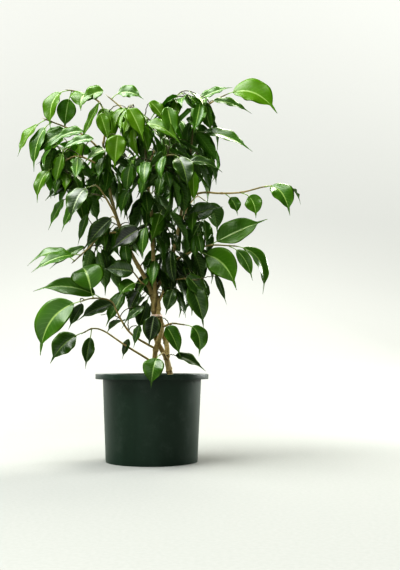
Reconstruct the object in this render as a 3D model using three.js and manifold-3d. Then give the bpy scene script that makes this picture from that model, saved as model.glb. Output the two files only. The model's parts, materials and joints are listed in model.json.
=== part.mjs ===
// A young weeping fig (Ficus benjamina) in a plastic nursery pot.
//
// Millimetres, +Z up. The origin is the middle of the pot's foot, on the surface that it stands on.
// +X is the plant's right and -Y its front.
// Three stems are planted together, twisted round each other and held by a soft tie. Above the tie they
// part into three limbs, which carry the branches, and each branch carries its leaves.
//
// Stems, branches and leaves are all swept solids: a section that changes along a curve. A branch starts
// inside its stem and a leaf inside its branch, and each is cut back to stand GAP clear of what it grows on.

import * as THREE from 'three';
import { mergeVertices } from 'three/addons/utils/BufferGeometryUtils.js';
import Module from 'manifold-3d';

const wasm = await Module();
wasm.setup();

const GAP = 0.3; // clearance between pieces that meet
const MERGE_DISTANCE = 1e-4;

// Pot
const RIM_DIAMETER = 160;
const POT_HEIGHT = 122;
const BODY_TOP_DIAMETER = 141;
const FOOT_DIAMETER = 129;
const POT_WALL = 1.6;
const LIP_DEPTH = 7; // how far the rolled lip turns down outside the wall
const EDGE_RADIUS = 2.5; // round of the foot's and the lip's outer edges
const FOOT_RING_WIDTH = 7;
const FOOT_PAD_DIAMETER = 68; // flat middle of the floor, level with the foot ring
const FLOOR_RISE = 3; // the floor round the pad stands this far up, and the water drains there
const FLOOR_THICKNESS = 2;
const DRAIN_HOLE_DIAMETER = 5.5;
const DRAIN_HOLE_COUNT = 8;
const DRAIN_CIRCLE_DIAMETER = 92;
const POT_SEGMENTS = 48;

// Potting mix
const HEADSPACE = 22; // left empty between the rim and the mix, for watering
const MOUND = 2.5; // the mix stands this much higher round the stems

// Every height and every place in the crown below is drawn for a plant of DRAWN_HEIGHT, measured from the
// top of the potting mix, and grows with PLANT_HEIGHT.
const PLANT_HEIGHT = 450;
const DRAWN_HEIGHT = 450;
const GROWTH = PLANT_HEIGHT / DRAWN_HEIGHT;

// Stems
const STEM_FOOT_DIAMETER = 7.6;
const STEM_FORK_DIAMETER = 6.2;
const STEM_TOP_DIAMETER = 3;
const ROOT_DEPTH = 30;
const TIE_HEIGHT = 105;
const FORK_HEIGHT = 140;
const TWIST_START = 40;
const TWIST_TURNS = 1;
const FOOT_SPREAD = 14; // how much further out the stems stand at the mix than at the tie
const TRUNK_FOOT_X = 21;
const TRUNK_FORK_X = 1.5;
const STEM_GAP = 0.9; // between the twisted stems, wider than GAP because they pass at a slant
const STEM_SIDES = 8;
const TWIST_STEP = 10; // between the points that a twisted stem's curve runs through
const STEM_STEP = 5; // between a stem's rings, short enough to follow the twist

// Tie
const TIE_WIDTH = 3;
const TIE_THICKNESS = 1.1;
const CLEAR_OF_TIE = 17; // from the tie to the nearest branch above and below it

// Crown
const BRANCH_START_DIAMETER = 3.2;
const BRANCH_END_DIAMETER = 1.8;
const BRANCH_SIDES = 6;
const BRANCH_STEPS_PER_NODE = 3;
const PETIOLE_DIAMETER = 1.4;
const PETIOLE_LENGTH = 13;
const BLADE_THICKNESS = 0.9; // at the midrib; the edges are sharp
const BLADE_FOLD = 0.22; // rise of each half from the midrib, as a share of its width

// Outline of the blade: how far along it, and the share of the full width there. The last stretch is the
// drip tip.
const BLADE_OUTLINE = [
  [0, 0.06], [0.1, 0.5], [0.25, 0.88], [0.42, 1], [0.6, 0.84], [0.76, 0.46], [0.88, 0.16], [1, 0.04],
];

// The branch at the front reaches just short of the rim, and its leaf hangs down outside the rim.
const REACH_INSIDE_RIM = RIM_DIAMETER / 2 - 16;
const HANG_OUTSIDE_RIM = 22;

// Each limb: its stem's place round the twist, in degrees from +X, and its points from the fork up.
const STEMS = [
  {
    name: 'stem_left', angle: 180,
    limb: [[-10, 4, 22], [-26, 4, 50], [-42, -4, 85], [-56, -10, 130], [-64, -12, 175], [-70, -10, 215]],
  },
  {
    name: 'stem_middle', angle: 300,
    limb: [[-1, -3, 22], [-3, -1, 60], [-5, 5, 105], [-11, 10, 150], [-15, 8, 200], [-17, 2, 245]],
  },
  {
    name: 'stem_right', angle: 60,
    limb: [[11, 3, 20], [23, 7, 50], [33, 5, 92], [41, -1, 140], [49, -6, 190], [55, -9, 240]],
  },
];

// Each branch: the stem it grows from, the height there, and its nodes as steps out from that start.
// Each leaf: the node it grows at (0 is the start, and halves lie between), where its tip is from there,
// how its midrib bows out from the straight line, its width, and the way its upper face looks.
const BRANCHES = [
  {
    name: 'low_left_outer', stem: 'stem_left', height: 37,
    nodes: [[-40, -20, 25], [-72, -34, 46], [-84, -38, 48], [-94, -42, 43]],
    leaves: [
      { node: 4, tip: [-45, -8, -42], bow: [-6, -2, 12], width: 32, face: [-0.2, -1, 0.4] },
      { node: 3, tip: [-8, -8, -54], bow: [-2, 0, 4], width: 17, face: [0.4, -1, 0.1] },
    ],
  },
  {
    name: 'low_left_inner', stem: 'stem_left', height: 57,
    nodes: [[-36, -8, 23], [-53, -18, 50], [-61, -26, 66], [-85, -44, 69], [-97, -52, 65]],
    leaves: [
      { node: 5, tip: [-54, -14, -73], bow: [-24, -4, 24], width: 42, face: [-0.1, -1, 0.4] },
      { node: 4, tip: [-22, 30, 44], bow: [2, -14, 28], width: 44, face: [0.1, -1, 0.1] },
      { node: 3.5, tip: [-98, 16, 12], bow: [-4, 10, 24], width: 27, face: [0.1, -1, 0.5] },
    ],
  },
  {
    name: 'left_mid', stem: 'stem_left', height: 225,
    nodes: [[-26, -16, -6], [-44, -28, -27], [-62, -36, -46]],
    leaves: [
      { node: 3, tip: [-67, 10, -5], bow: [0, 8, 31], width: 24, face: [-0.1, -0.6, 1] },
      { node: 2.5, tip: [-62, -32, -28], bow: [0, -12, 12], width: 23, face: [-0.2, -1, 0.8] },
    ],
  },
  {
    name: 'left_upper', stem: 'stem_left', height: 315,
    nodes: [[-20, -14, 9], [-40, -26, 13], [-64, -34, -2]],
    leaves: [
      { node: 3, tip: [-26, -12, -54], bow: [-14, 0, 16], width: 19, face: [-0.4, -1, 0.4] },
    ],
  },
  {
    name: 'far_left', stem: 'stem_left', height: 338,
    nodes: [[-28, -7, 25], [-57, -13, 37], [-82, -17, 46]],
    leaves: [
      { node: 3, tip: [-38, -6, -54], bow: [-4, 0, 16], width: 24, face: [-0.6, -0.7, 0.6] },
      { node: 2.7, tip: [-20, -18, -76], bow: [-12, -6, 14], width: 21, face: [-0.4, -1, 0.2] },
      { node: 1.4, tip: [-58, -16, -42], bow: [0, -4, 22], width: 27, face: [0, -1, 0.6] },
    ],
  },
  {
    name: 'top_left', stem: 'stem_left', height: 352,
    nodes: [[4, -4, 34], [-6, -8, 61], [-32, -14, 73], [-47, -18, 75]],
    leaves: [
      { node: 4, tip: [-25, -10, -58], bow: [-18, 0, 26], width: 27, face: [-0.5, -1, 0.5] },
      { node: 3.7, tip: [-12, 8, -54], bow: [-4, 0, 12], width: 26, face: [0.2, -1, 0.3] },
      { node: 2.1, tip: [-20, -26, -22], bow: [-14, -4, 28], width: 34, face: [-0.1, -0.7, 1] },
      { node: 2, tip: [18, -16, -72], bow: [10, -6, 8], width: 29, face: [0.3, -1, 0.2] },
    ],
  },
  {
    name: 'top_middle', stem: 'stem_middle', height: 380,
    nodes: [[-20, 4, 18], [-38, 6, 35], [-54, 8, 49]],
    leaves: [
      { node: 2.8, tip: [48, -6, -2], bow: [-2, 0, 20], width: 24, face: [0, -1, 0.5] },
    ],
  },
  {
    name: 'top_right', stem: 'stem_right', height: 372,
    nodes: [[15, -2, 33], [31, -6, 45], [46, -10, 52]],
    leaves: [
      { node: 3, tip: [74, -14, -30], bow: [6, 0, 34], width: 44, face: [0.1, -1, 0.6] },
      { node: 0, tip: [84, -24, -34], bow: [2, -4, 18], width: 28, face: [0, -0.9, 0.9] },
    ],
  },
  {
    name: 'right_outer', stem: 'stem_right', height: 278,
    nodes: [[31, -8, 5], [48, -12, 3], [83, -18, 3], [114, -22, 10], [138, -24, 13]],
    leaves: [
      { node: 2, tip: [29, -12, -33], bow: [10, 0, 16], width: 18, face: [0.2, -0.9, 0.5] },
      { node: 3, tip: [20, -10, -38], bow: [10, -2, 12], width: 24, face: [-0.2, -1, 0.3] },
      { node: 4, tip: [35, -24, -44], bow: [10, -8, 26], width: 32, face: [0, -0.9, 0.7] },
      { node: 5, tip: [30, 8, -26], bow: [8, 0, 14], width: 15, face: [0.4, -0.2, 1] },
    ],
  },
  {
    name: 'right_low', stem: 'stem_right', height: 180,
    nodes: [[23, -9, 13], [40, -19, 19], [58, -27, 24], [93, -35, 22]],
    leaves: [
      { node: 3, tip: [82, 4, 38], bow: [3, 10, 6], width: 41, face: [-0.3, -1, 0.5] },
      { node: 1, tip: [72, -46, -54], bow: [20, -10, 34], width: 38, face: [0, -1, 0.1] },
      { node: 3.8, tip: [32, -14, -50], bow: [8, -2, 14], width: 17, face: [-0.3, -0.8, 0.4] },
      { node: 4, tip: [41, 8, -66], bow: [30, 0, 28], width: 25, face: [0.4, -0.8, 0.7] },
    ],
  },
  {
    name: 'lower_right', stem: 'stem_right', height: TIE_HEIGHT + CLEAR_OF_TIE,
    nodes: [[15, -9, 29], [35, -21, 34], [53, -31, 31]],
    leaves: [
      { node: 2.2, tip: [26, -20, -70], bow: [8, -6, 10], width: 28, face: [0.2, -1, 0.2] },
    ],
  },
  {
    name: 'low_right', stem: 'stem_left', height: TIE_HEIGHT - CLEAR_OF_TIE,
    nodes: [[15, -12, 5], [31, -20, 3]],
    leaves: [
      { node: 2, tip: [22, -10, -43], bow: [18, 0, 20], width: 24, face: [0.2, -1, 0.3] },
    ],
  },
  {
    name: 'front_low', stem: 'stem_middle', height: 42,
    nodes: [[-3, -REACH_INSIDE_RIM / 2, 9], [-7, -REACH_INSIDE_RIM, 6]],
    leaves: [
      { node: 2, tip: [-10, -HANG_OUTSIDE_RIM, -42], bow: [-2, -18, 16], width: 27, face: [-0.1, -1, 0.5] },
    ],
  },
  {
    name: 'inner_left', stem: 'stem_left', height: 150,
    nodes: [[-6, -14, -1], [-20, -22, 16]],
    leaves: [
      { node: 1, tip: [-33, -18, -19], bow: [-2, 0, 16], width: 25, face: [-0.2, -1, 0.6] },
    ],
  },
  {
    name: 'front_left', stem: 'stem_left', height: 245,
    nodes: [[-12, -34, 22], [-20, -66, 32], [-24, -94, 26]],
    leaves: [
      { node: 3, tip: [-24, -28, -52], bow: [-4, -8, 20], width: 28, face: [-0.2, -1, 0.5] },
    ],
  },
  {
    name: 'front_right', stem: 'stem_middle', height: 290,
    nodes: [[16, -36, 24], [30, -70, 32], [40, -98, 26]],
    leaves: [
      { node: 3, tip: [20, -30, -54], bow: [4, -8, 20], width: 28, face: [0.2, -1, 0.5] },
    ],
  },
  {
    name: 'back_left', stem: 'stem_left', height: 200,
    nodes: [[-18, 38, 40], [-32, 72, 62], [-42, 98, 62]],
    leaves: [
      { node: 3, tip: [-22, 32, -46], bow: [-8, 10, 22], width: 30, face: [-0.4, 1, 0.6] },
    ],
  },
  {
    name: 'back_right', stem: 'stem_right', height: 230,
    nodes: [[14, 36, 42], [28, 68, 64], [38, 96, 64]],
    leaves: [
      { node: 3, tip: [22, 34, -48], bow: [8, 10, 22], width: 30, face: [0.4, 1, 0.6] },
    ],
  },
  {
    name: 'back_top', stem: 'stem_middle', height: 320,
    nodes: [[10, 36, 38], [18, 74, 62], [24, 108, 64]],
    leaves: [
      { node: 3, tip: [10, 50, -48], bow: [2, 14, 26], width: 30, face: [0.2, 1, 0.7] },
    ],
  },
];

// Solids ------------------------------------------------------------------------------------------------

function bare(geometry) {
  geometry.deleteAttribute('normal');
  geometry.deleteAttribute('uv');
  return mergeVertices(geometry, MERGE_DISTANCE);
}

function solidOf(geometry) {
  const merged = bare(geometry);
  return new wasm.Manifold(new wasm.Mesh({
    numProp: 3,
    vertProperties: new Float32Array(merged.attributes.position.array),
    triVerts: new Uint32Array(merged.index.array),
  }));
}

function geometryOf(solid) {
  const { vertProperties, triVerts } = solid.getMesh();
  const geometry = new THREE.BufferGeometry();
  geometry.setAttribute('position', new THREE.BufferAttribute(vertProperties, 3));
  geometry.setIndex(new THREE.BufferAttribute(triVerts, 1));
  geometry.computeVertexNormals();
  return geometry;
}

function vector([x, y, z]) {
  return new THREE.Vector3(x, y, z);
}

// A place in the crown, at the size the plant is grown to.
function grown(place) {
  return vector(place).multiplyScalar(GROWTH);
}

// Sweeps a section with `sides` corners along a curve. Each station says how far along the curve it is
// (at), its half width and half height, and how far its edges rise (fold). The section stands square to
// the curve, and its top looks towards `face`, carried along from the middle so that it never flips.
function sweep(curve, sides, stations, face, overrun = 0) {
  const last = stations.length - 1;
  const tangents = stations.map(({ at }) => curve.getTangentAt(at));
  const points = stations.map(({ at }) => curve.getPointAt(at));
  points[0].addScaledVector(tangents[0], -overrun);
  points[last].addScaledVector(tangents[last], overrun);

  const middle = Math.floor(last / 2);
  const tops = [];
  tops[middle] = squareTo(tangents[middle], face);
  for (let i = middle + 1; i <= last; i += 1) tops[i] = squareTo(tangents[i], tops[i - 1]);
  for (let i = middle - 1; i >= 0; i -= 1) tops[i] = squareTo(tangents[i], tops[i + 1]);

  const geometry = new THREE.CylinderGeometry(1, 1, 1, sides, last);
  const corner = geometry.attributes.position;
  for (let i = 0; i < corner.count; i += 1) {
    const k = Math.round((corner.getY(i) + 0.5) * last);
    const { width, height, fold = 0 } = stations[k];
    const side = new THREE.Vector3().crossVectors(tangents[k], tops[k]);
    const across = corner.getX(i) * width;
    const place = points[k].clone();
    place.addScaledVector(side, across);
    place.addScaledVector(tops[k], corner.getZ(i) * height + Math.abs(across) * fold);
    corner.setXYZ(i, place.x, place.y, place.z);
  }
  return solidOf(geometry);
}

function squareTo(tangent, direction) {
  return direction.clone().addScaledVector(tangent, -direction.dot(tangent)).normalize();
}

// A round stem or branch that tapers. With a clearance, it is the space that others keep out of.
function taperedTube({ curve, radiusAt, sides, steps }, clearance = 0) {
  const stations = [];
  for (let k = 0; k <= steps; k += 1) {
    const radius = radiusAt(k / steps) + clearance;
    stations.push({ at: k / steps, width: radius, height: radius });
  }
  return sweep(curve, sides, stations, new THREE.Vector3(1, 0, 0), clearance);
}

function meshOf(name, solid, material) {
  const mesh = new THREE.Mesh(geometryOf(solid), material);
  mesh.name = name;
  return mesh;
}

// Materials ---------------------------------------------------------------------------------------------

function matt(color, roughness) {
  return new THREE.MeshStandardMaterial({ color, roughness, metalness: 0 });
}

function potMaterial() {
  return matt(0x1d2822, 0.5);
}

function mixMaterial() {
  return matt(0x3a2c20, 0.95);
}

function barkMaterial() {
  return matt(0x6b5a3c, 0.8);
}

function tieMaterial() {
  return matt(0xe3cfc0, 0.6);
}

function leafMaterial() {
  return matt(0x3f7a1a, 0.35);
}

// Pot ---------------------------------------------------------------------------------------------------

// Radius of the pot wall's outside at a height above the foot.
function wallRadius(height) {
  const slope = (BODY_TOP_DIAMETER - FOOT_DIAMETER) / 2 / POT_HEIGHT;
  return FOOT_DIAMETER / 2 + slope * height;
}

function arc(x, y, radius, from, to) {
  const steps = 4;
  const points = [];
  for (let k = 0; k <= steps; k += 1) {
    const angle = THREE.MathUtils.degToRad(from + (to - from) * k / steps);
    points.push(new THREE.Vector2(x + radius * Math.cos(angle), y + radius * Math.sin(angle)));
  }
  return points;
}

function potProfile() {
  const at = (x, y) => new THREE.Vector2(x, y);
  const foot = FOOT_DIAMETER / 2;
  const rim = RIM_DIAMETER / 2;
  const pad = FOOT_PAD_DIAMETER / 2;
  const lipTop = POT_HEIGHT - POT_WALL;
  const floorTop = FLOOR_RISE + FLOOR_THICKNESS;
  const mouth = wallRadius(POT_HEIGHT) - POT_WALL;
  return [
    at(0, 0),
    at(pad, 0),
    at(pad, FLOOR_RISE),
    at(foot - FOOT_RING_WIDTH, FLOOR_RISE),
    at(foot - FOOT_RING_WIDTH, 0),
    ...arc(foot - EDGE_RADIUS, EDGE_RADIUS, EDGE_RADIUS, -90, 0),
    at(wallRadius(lipTop), lipTop),
    at(rim - POT_WALL, lipTop),
    at(rim - POT_WALL, POT_HEIGHT - LIP_DEPTH),
    at(rim, POT_HEIGHT - LIP_DEPTH),
    ...arc(rim - EDGE_RADIUS, POT_HEIGHT - EDGE_RADIUS, EDGE_RADIUS, 0, 90),
    ...arc(mouth + POT_WALL / 2, POT_HEIGHT - POT_WALL / 2, POT_WALL / 2, 90, 180),
    at(wallRadius(floorTop) - POT_WALL, floorTop),
    at(pad - FLOOR_THICKNESS, floorTop),
    at(pad - FLOOR_THICKNESS, FLOOR_THICKNESS),
    at(0, FLOOR_THICKNESS),
  ];
}

function drainHole(index) {
  const depth = FLOOR_RISE + FLOOR_THICKNESS;
  const hole = new THREE.CylinderGeometry(DRAIN_HOLE_DIAMETER / 2, DRAIN_HOLE_DIAMETER / 2, depth * 2, 12);
  hole.rotateX(Math.PI / 2);
  hole.translate(DRAIN_CIRCLE_DIAMETER / 2, 0, depth);
  hole.rotateZ(2 * Math.PI * index / DRAIN_HOLE_COUNT);
  return solidOf(hole);
}

function nurseryPot() {
  const shell = new THREE.LatheGeometry(potProfile(), POT_SEGMENTS);
  shell.rotateX(Math.PI / 2);
  let pot = solidOf(shell);
  for (let k = 0; k < DRAIN_HOLE_COUNT; k += 1) pot = pot.subtract(drainHole(k));
  return meshOf('nursery_pot', pot, potMaterial());
}

// Potting mix, in the plant's frame: its own level is height 0 and the pot's foot is below.
const MIX_LEVEL = POT_HEIGHT - HEADSPACE;

function pottingMix(stems) {
  const padTop = FLOOR_THICKNESS + GAP;
  const floorTop = FLOOR_RISE + padTop;
  const pad = FOOT_PAD_DIAMETER / 2 - FLOOR_THICKNESS - GAP;
  const inside = (height) => wallRadius(height) - POT_WALL - GAP;
  const at = (x, height) => new THREE.Vector2(x, height - MIX_LEVEL);
  const profile = [
    at(0, padTop),
    at(pad, padTop),
    at(pad, floorTop),
    at(inside(floorTop), floorTop),
    at(inside(MIX_LEVEL), MIX_LEVEL),
    at(inside(MIX_LEVEL) * 0.6, MIX_LEVEL + MOUND * 0.7),
    at(0, MIX_LEVEL + MOUND),
  ];
  const fill = new THREE.LatheGeometry(profile, POT_SEGMENTS);
  fill.rotateX(Math.PI / 2);
  let mix = solidOf(fill);
  for (const stem of stems.values()) mix = mix.subtract(taperedTube(stem, GAP));
  return meshOf('potting_mix', mix, mixMaterial());
}

// Stems -------------------------------------------------------------------------------------------------

// Where a twisted stem's middle is at a height between its root and the fork. The twist starts gently and
// slows again towards the fork, and the roots stay at their depth whatever the plant grows to.
function twistedPlace(angle, height) {
  const above = Math.max(height, 0);
  const lean = TRUNK_FOOT_X + (TRUNK_FORK_X - TRUNK_FOOT_X) * above / FORK_HEIGHT;
  const turned = Math.max(above - TWIST_START, 0) / (FORK_HEIGHT - TWIST_START);
  const eased = 0.6 * turned ** 1.3 + 0.4 * turned ** 2 * (3 - 2 * turned);
  const turn = THREE.MathUtils.degToRad(angle) + 2 * Math.PI * TWIST_TURNS * eased;
  const taper = STEM_FOOT_DIAMETER + (STEM_FORK_DIAMETER - STEM_FOOT_DIAMETER) * above / FORK_HEIGHT;
  const touching = (taper + STEM_GAP) / Math.sqrt(3);
  const parted = FOOT_SPREAD * Math.max(1 - above / TIE_HEIGHT, 0) ** 1.4;
  const reach = touching + parted;
  const level = Math.min(height, 0) + above * GROWTH;
  return new THREE.Vector3(lean + reach * Math.cos(turn), reach * Math.sin(turn), level);
}

function stemCurve({ angle, limb }) {
  const points = [];
  const steps = Math.round((ROOT_DEPTH + FORK_HEIGHT) / TWIST_STEP);
  for (let k = 0; k <= steps; k += 1) {
    points.push(twistedPlace(angle, -ROOT_DEPTH + (ROOT_DEPTH + FORK_HEIGHT) * k / steps));
  }
  const fork = points[points.length - 1];
  for (const place of limb) points.push(grown(place).add(fork));
  return new THREE.CatmullRomCurve3(points);
}

function stemPart(stem) {
  const curve = stemCurve(stem);
  const length = curve.getLength();
  const forkAt = (ROOT_DEPTH + FORK_HEIGHT * GROWTH) * 1.08 / length;
  const radiusAt = (at) => {
    const foot = THREE.MathUtils.lerp(STEM_FOOT_DIAMETER, STEM_FORK_DIAMETER, Math.min(at / forkAt, 1));
    const thinning = Math.max(at - forkAt, 0) / (1 - forkAt);
    return THREE.MathUtils.lerp(foot, STEM_TOP_DIAMETER, thinning) / 2;
  };
  return { curve, radiusAt, sides: STEM_SIDES, steps: Math.round(length / STEM_STEP) };
}

// Where along a rising curve it passes a height.
function heightToShare(curve, height) {
  let low = 0;
  let high = 1;
  for (let k = 0; k < 30; k += 1) {
    const middle = (low + high) / 2;
    if (curve.getPointAt(middle).z < height) low = middle;
    else high = middle;
  }
  return (low + high) / 2;
}

// Tie ---------------------------------------------------------------------------------------------------

// A band drawn round the three stems: an arc round each, joined by straight runs.
function bandOutline(PathClass, places, radius) {
  const middle = places.reduce((sum, place) => sum.add(place), new THREE.Vector3()).divideScalar(places.length);
  const outline = new PathClass();
  const bearing = (place) => Math.atan2(place.y - middle.y, place.x - middle.x);
  const inOrder = [...places].sort((a, b) => bearing(a) - bearing(b));
  for (const place of inOrder) {
    const turn = bearing(place);
    outline.absarc(place.x, place.y, radius, turn - Math.PI / 3, turn + Math.PI / 3, false);
  }
  return outline;
}

function plantTie(stems) {
  const parts = [...stems.values()];
  const level = TIE_HEIGHT * GROWTH;
  const shares = parts.map(({ curve }) => heightToShare(curve, level));
  const places = parts.map(({ curve }, k) => curve.getPointAt(shares[k]));
  const radius = parts[0].radiusAt(shares[0]) + GAP;
  const band = bandOutline(THREE.Shape, places, radius + TIE_THICKNESS);
  band.holes.push(bandOutline(THREE.Path, places, radius));
  const loop = new THREE.ExtrudeGeometry(band, { depth: TIE_WIDTH, bevelEnabled: false, curveSegments: 6 });
  loop.translate(0, 0, level - TIE_WIDTH / 2);
  let tie = solidOf(loop);
  for (const stem of parts) tie = tie.subtract(taperedTube(stem, GAP));
  return meshOf('plant_tie', tie, tieMaterial());
}

// Branches and leaves -----------------------------------------------------------------------------------

function branchPart({ height, nodes }, stem) {
  const start = stem.curve.getPointAt(heightToShare(stem.curve, height * GROWTH));
  const points = [start, ...nodes.map((place) => grown(place).add(start))];
  const radiusAt = (at) => THREE.MathUtils.lerp(BRANCH_START_DIAMETER, BRANCH_END_DIAMETER, at) / 2;
  return {
    curve: new THREE.CatmullRomCurve3(points),
    nodeCount: nodes.length,
    radiusAt,
    sides: BRANCH_SIDES,
    steps: nodes.length * BRANCH_STEPS_PER_NODE,
  };
}

function leafSolid({ node, tip, bow, width, face }, branch) {
  const foot = branch.curve.getPoint(node / branch.nodeCount);
  const end = grown(tip).add(foot);
  const control = foot.clone().add(end).multiplyScalar(0.5).add(grown(bow));
  const midrib = new THREE.QuadraticBezierCurve3(foot, control, end);
  const petioleShare = PETIOLE_LENGTH * GROWTH / midrib.getLength();
  const petiole = { width: PETIOLE_DIAMETER / 2, height: PETIOLE_DIAMETER / 2 };
  const halfWidth = width / 2 * GROWTH;
  const stations = [{ at: 0, ...petiole }, { at: petioleShare * 0.8, ...petiole }];
  for (const [along, share] of BLADE_OUTLINE) {
    stations.push({
      at: petioleShare + (1 - petioleShare) * along,
      width: halfWidth * share,
      height: BLADE_THICKNESS / 2,
      fold: BLADE_FOLD * Math.min(share * 2, 1),
    });
  }
  return sweep(midrib, 4, stations, vector(face).normalize());
}

// Plant -------------------------------------------------------------------------------------------------

function weepingFig() {
  const plant = new THREE.Group();
  plant.position.z = MIX_LEVEL;

  const stems = new Map();
  for (const stem of STEMS) {
    const part = stemPart(stem);
    stems.set(stem.name, part);
    plant.add(meshOf(stem.name, taperedTube(part), barkMaterial()));
  }
  plant.add(pottingMix(stems), plantTie(stems));

  for (const branch of BRANCHES) {
    const stem = stems.get(branch.stem);
    const part = branchPart(branch, stem);
    const wood = taperedTube(part).subtract(taperedTube(stem, GAP));
    plant.add(meshOf(`branch_${branch.name}`, wood, barkMaterial()));
    branch.leaves.forEach((leaf, k) => {
      const clear = taperedTube(part, GAP).add(taperedTube(stem, GAP));
      const blade = leafSolid(leaf, part).subtract(clear);
      plant.add(meshOf(`leaf_${branch.name}_${k + 1}`, blade, leafMaterial()));
    });
  }
  return plant;
}

const pottedFig = new THREE.Group();
pottedFig.add(nurseryPot(), weepingFig());

export default pottedFig;
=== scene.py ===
"""A potted weeping fig: finished wood, leaves, pot and potting mix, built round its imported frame.

Everything is in metres in the frame's own axes: +Z up, the origin under the middle of the pot, -Y the front.
The stems, branches and outer leaves follow the swept solids of the frame ring by ring. The twigs and leaves
inside the crown grow from that wood by a seeded rule.
"""

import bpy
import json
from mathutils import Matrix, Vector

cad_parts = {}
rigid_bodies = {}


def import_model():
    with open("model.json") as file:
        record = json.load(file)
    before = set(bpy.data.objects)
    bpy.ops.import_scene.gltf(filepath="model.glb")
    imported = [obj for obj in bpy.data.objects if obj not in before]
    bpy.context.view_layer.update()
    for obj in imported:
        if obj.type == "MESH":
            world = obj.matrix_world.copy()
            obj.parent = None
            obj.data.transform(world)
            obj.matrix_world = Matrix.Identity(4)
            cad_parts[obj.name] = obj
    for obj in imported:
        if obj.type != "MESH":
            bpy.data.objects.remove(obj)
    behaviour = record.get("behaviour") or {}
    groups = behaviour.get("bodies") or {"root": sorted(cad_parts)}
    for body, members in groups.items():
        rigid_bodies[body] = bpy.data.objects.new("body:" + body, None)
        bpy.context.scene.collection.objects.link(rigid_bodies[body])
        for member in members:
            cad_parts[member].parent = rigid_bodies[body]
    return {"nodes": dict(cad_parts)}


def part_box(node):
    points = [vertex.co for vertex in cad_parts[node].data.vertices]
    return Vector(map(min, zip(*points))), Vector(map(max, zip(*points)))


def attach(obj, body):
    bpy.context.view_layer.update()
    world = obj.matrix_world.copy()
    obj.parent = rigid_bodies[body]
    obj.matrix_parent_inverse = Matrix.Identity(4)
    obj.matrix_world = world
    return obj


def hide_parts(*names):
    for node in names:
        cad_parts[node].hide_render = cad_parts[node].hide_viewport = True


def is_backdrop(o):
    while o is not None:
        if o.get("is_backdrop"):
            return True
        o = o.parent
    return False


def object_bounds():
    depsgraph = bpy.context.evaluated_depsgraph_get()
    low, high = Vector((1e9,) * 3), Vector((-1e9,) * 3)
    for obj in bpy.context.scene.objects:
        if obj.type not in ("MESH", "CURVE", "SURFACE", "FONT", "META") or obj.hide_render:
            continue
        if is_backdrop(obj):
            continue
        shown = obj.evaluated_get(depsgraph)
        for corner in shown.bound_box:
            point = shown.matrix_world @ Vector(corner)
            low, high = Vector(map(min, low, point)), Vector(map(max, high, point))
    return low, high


bl_info = {
    "name": "Potted weeping fig",
    "version": (1, 0, 0),
    "blender": (4, 5, 0),
    "location": "3D View > Sidebar > Fig",
    "description": "Builds the leaves, wood, pot and potting mix of a young weeping fig round its frame",
    "category": "Object",
}

import json
import math
import random

import bmesh
import bpy
import numpy as np
from bpy.props import FloatProperty, FloatVectorProperty, IntProperty, PointerProperty
from mathutils import Matrix, Vector, noise
from mathutils.bvhtree import BVHTree
from mathutils.kdtree import KDTree

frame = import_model()
FRAME_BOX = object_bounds()
NODES = frame["nodes"]
BODY = "root"

MM = 0.001
WELD = 0.02 * MM  # the frame's loose triangles meet within this
END_SIZE = 2.2 * MM  # the last ring of a swept solid lies within this of its middle
ROOT_SINK = 1.2 * MM  # how far a branch or a stalk runs on into what it grows from
UP = Vector((0, 0, 1))

STEMS = ("stem_left", "stem_middle", "stem_right")
BRANCHES = sorted(name for name in NODES if name.startswith("branch_"))
LEAVES = sorted(name for name in NODES if name.startswith("leaf_"))

# How far towards young, bright green each outer leaf is: 0 is the oldest and darkest, 1 the newest. The
# values also paint shade and light: leaves that stand in the crown's shade are set low and dark, lit ones
# high and bright. The rest take the value below.
OTHER_LEAF_AGE_AND_SHADE = 0.3
LEAF_AGE_AND_SHADE = {
    "leaf_far_left_1": 0.78, "leaf_far_left_2": 0.5, "leaf_far_left_3": 0.42,
    "leaf_left_upper_1": 0.72, "leaf_left_mid_1": 0.36, "leaf_left_mid_2": 0.5,
    "leaf_low_left_inner_1": 0.46, "leaf_low_left_inner_2": 0.54, "leaf_low_left_inner_3": 0.56,
    "leaf_low_left_outer_1": 0.18, "leaf_low_left_outer_2": 0.16,
    "leaf_top_left_1": 0.74, "leaf_top_left_2": 0.62, "leaf_top_left_3": 0.7, "leaf_top_left_4": 0.98,
    "leaf_top_middle_1": 0.34, "leaf_top_right_1": 0.84, "leaf_top_right_2": 0.34,
    "leaf_right_outer_1": 0.3, "leaf_right_outer_2": 0.66, "leaf_right_outer_3": 0.42,
    "leaf_right_outer_4": 0.26, "leaf_right_low_1": 0.6, "leaf_right_low_2": 0.62,
    "leaf_right_low_3": 0.26, "leaf_right_low_4": 0.36, "leaf_lower_right_1": 0.14,
    "leaf_low_right_1": 0.34, "leaf_front_low_1": 0.24, "leaf_inner_left_1": 0.6,
    "leaf_front_left_1": 0.1, "leaf_front_right_1": 0.1,
}
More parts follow.
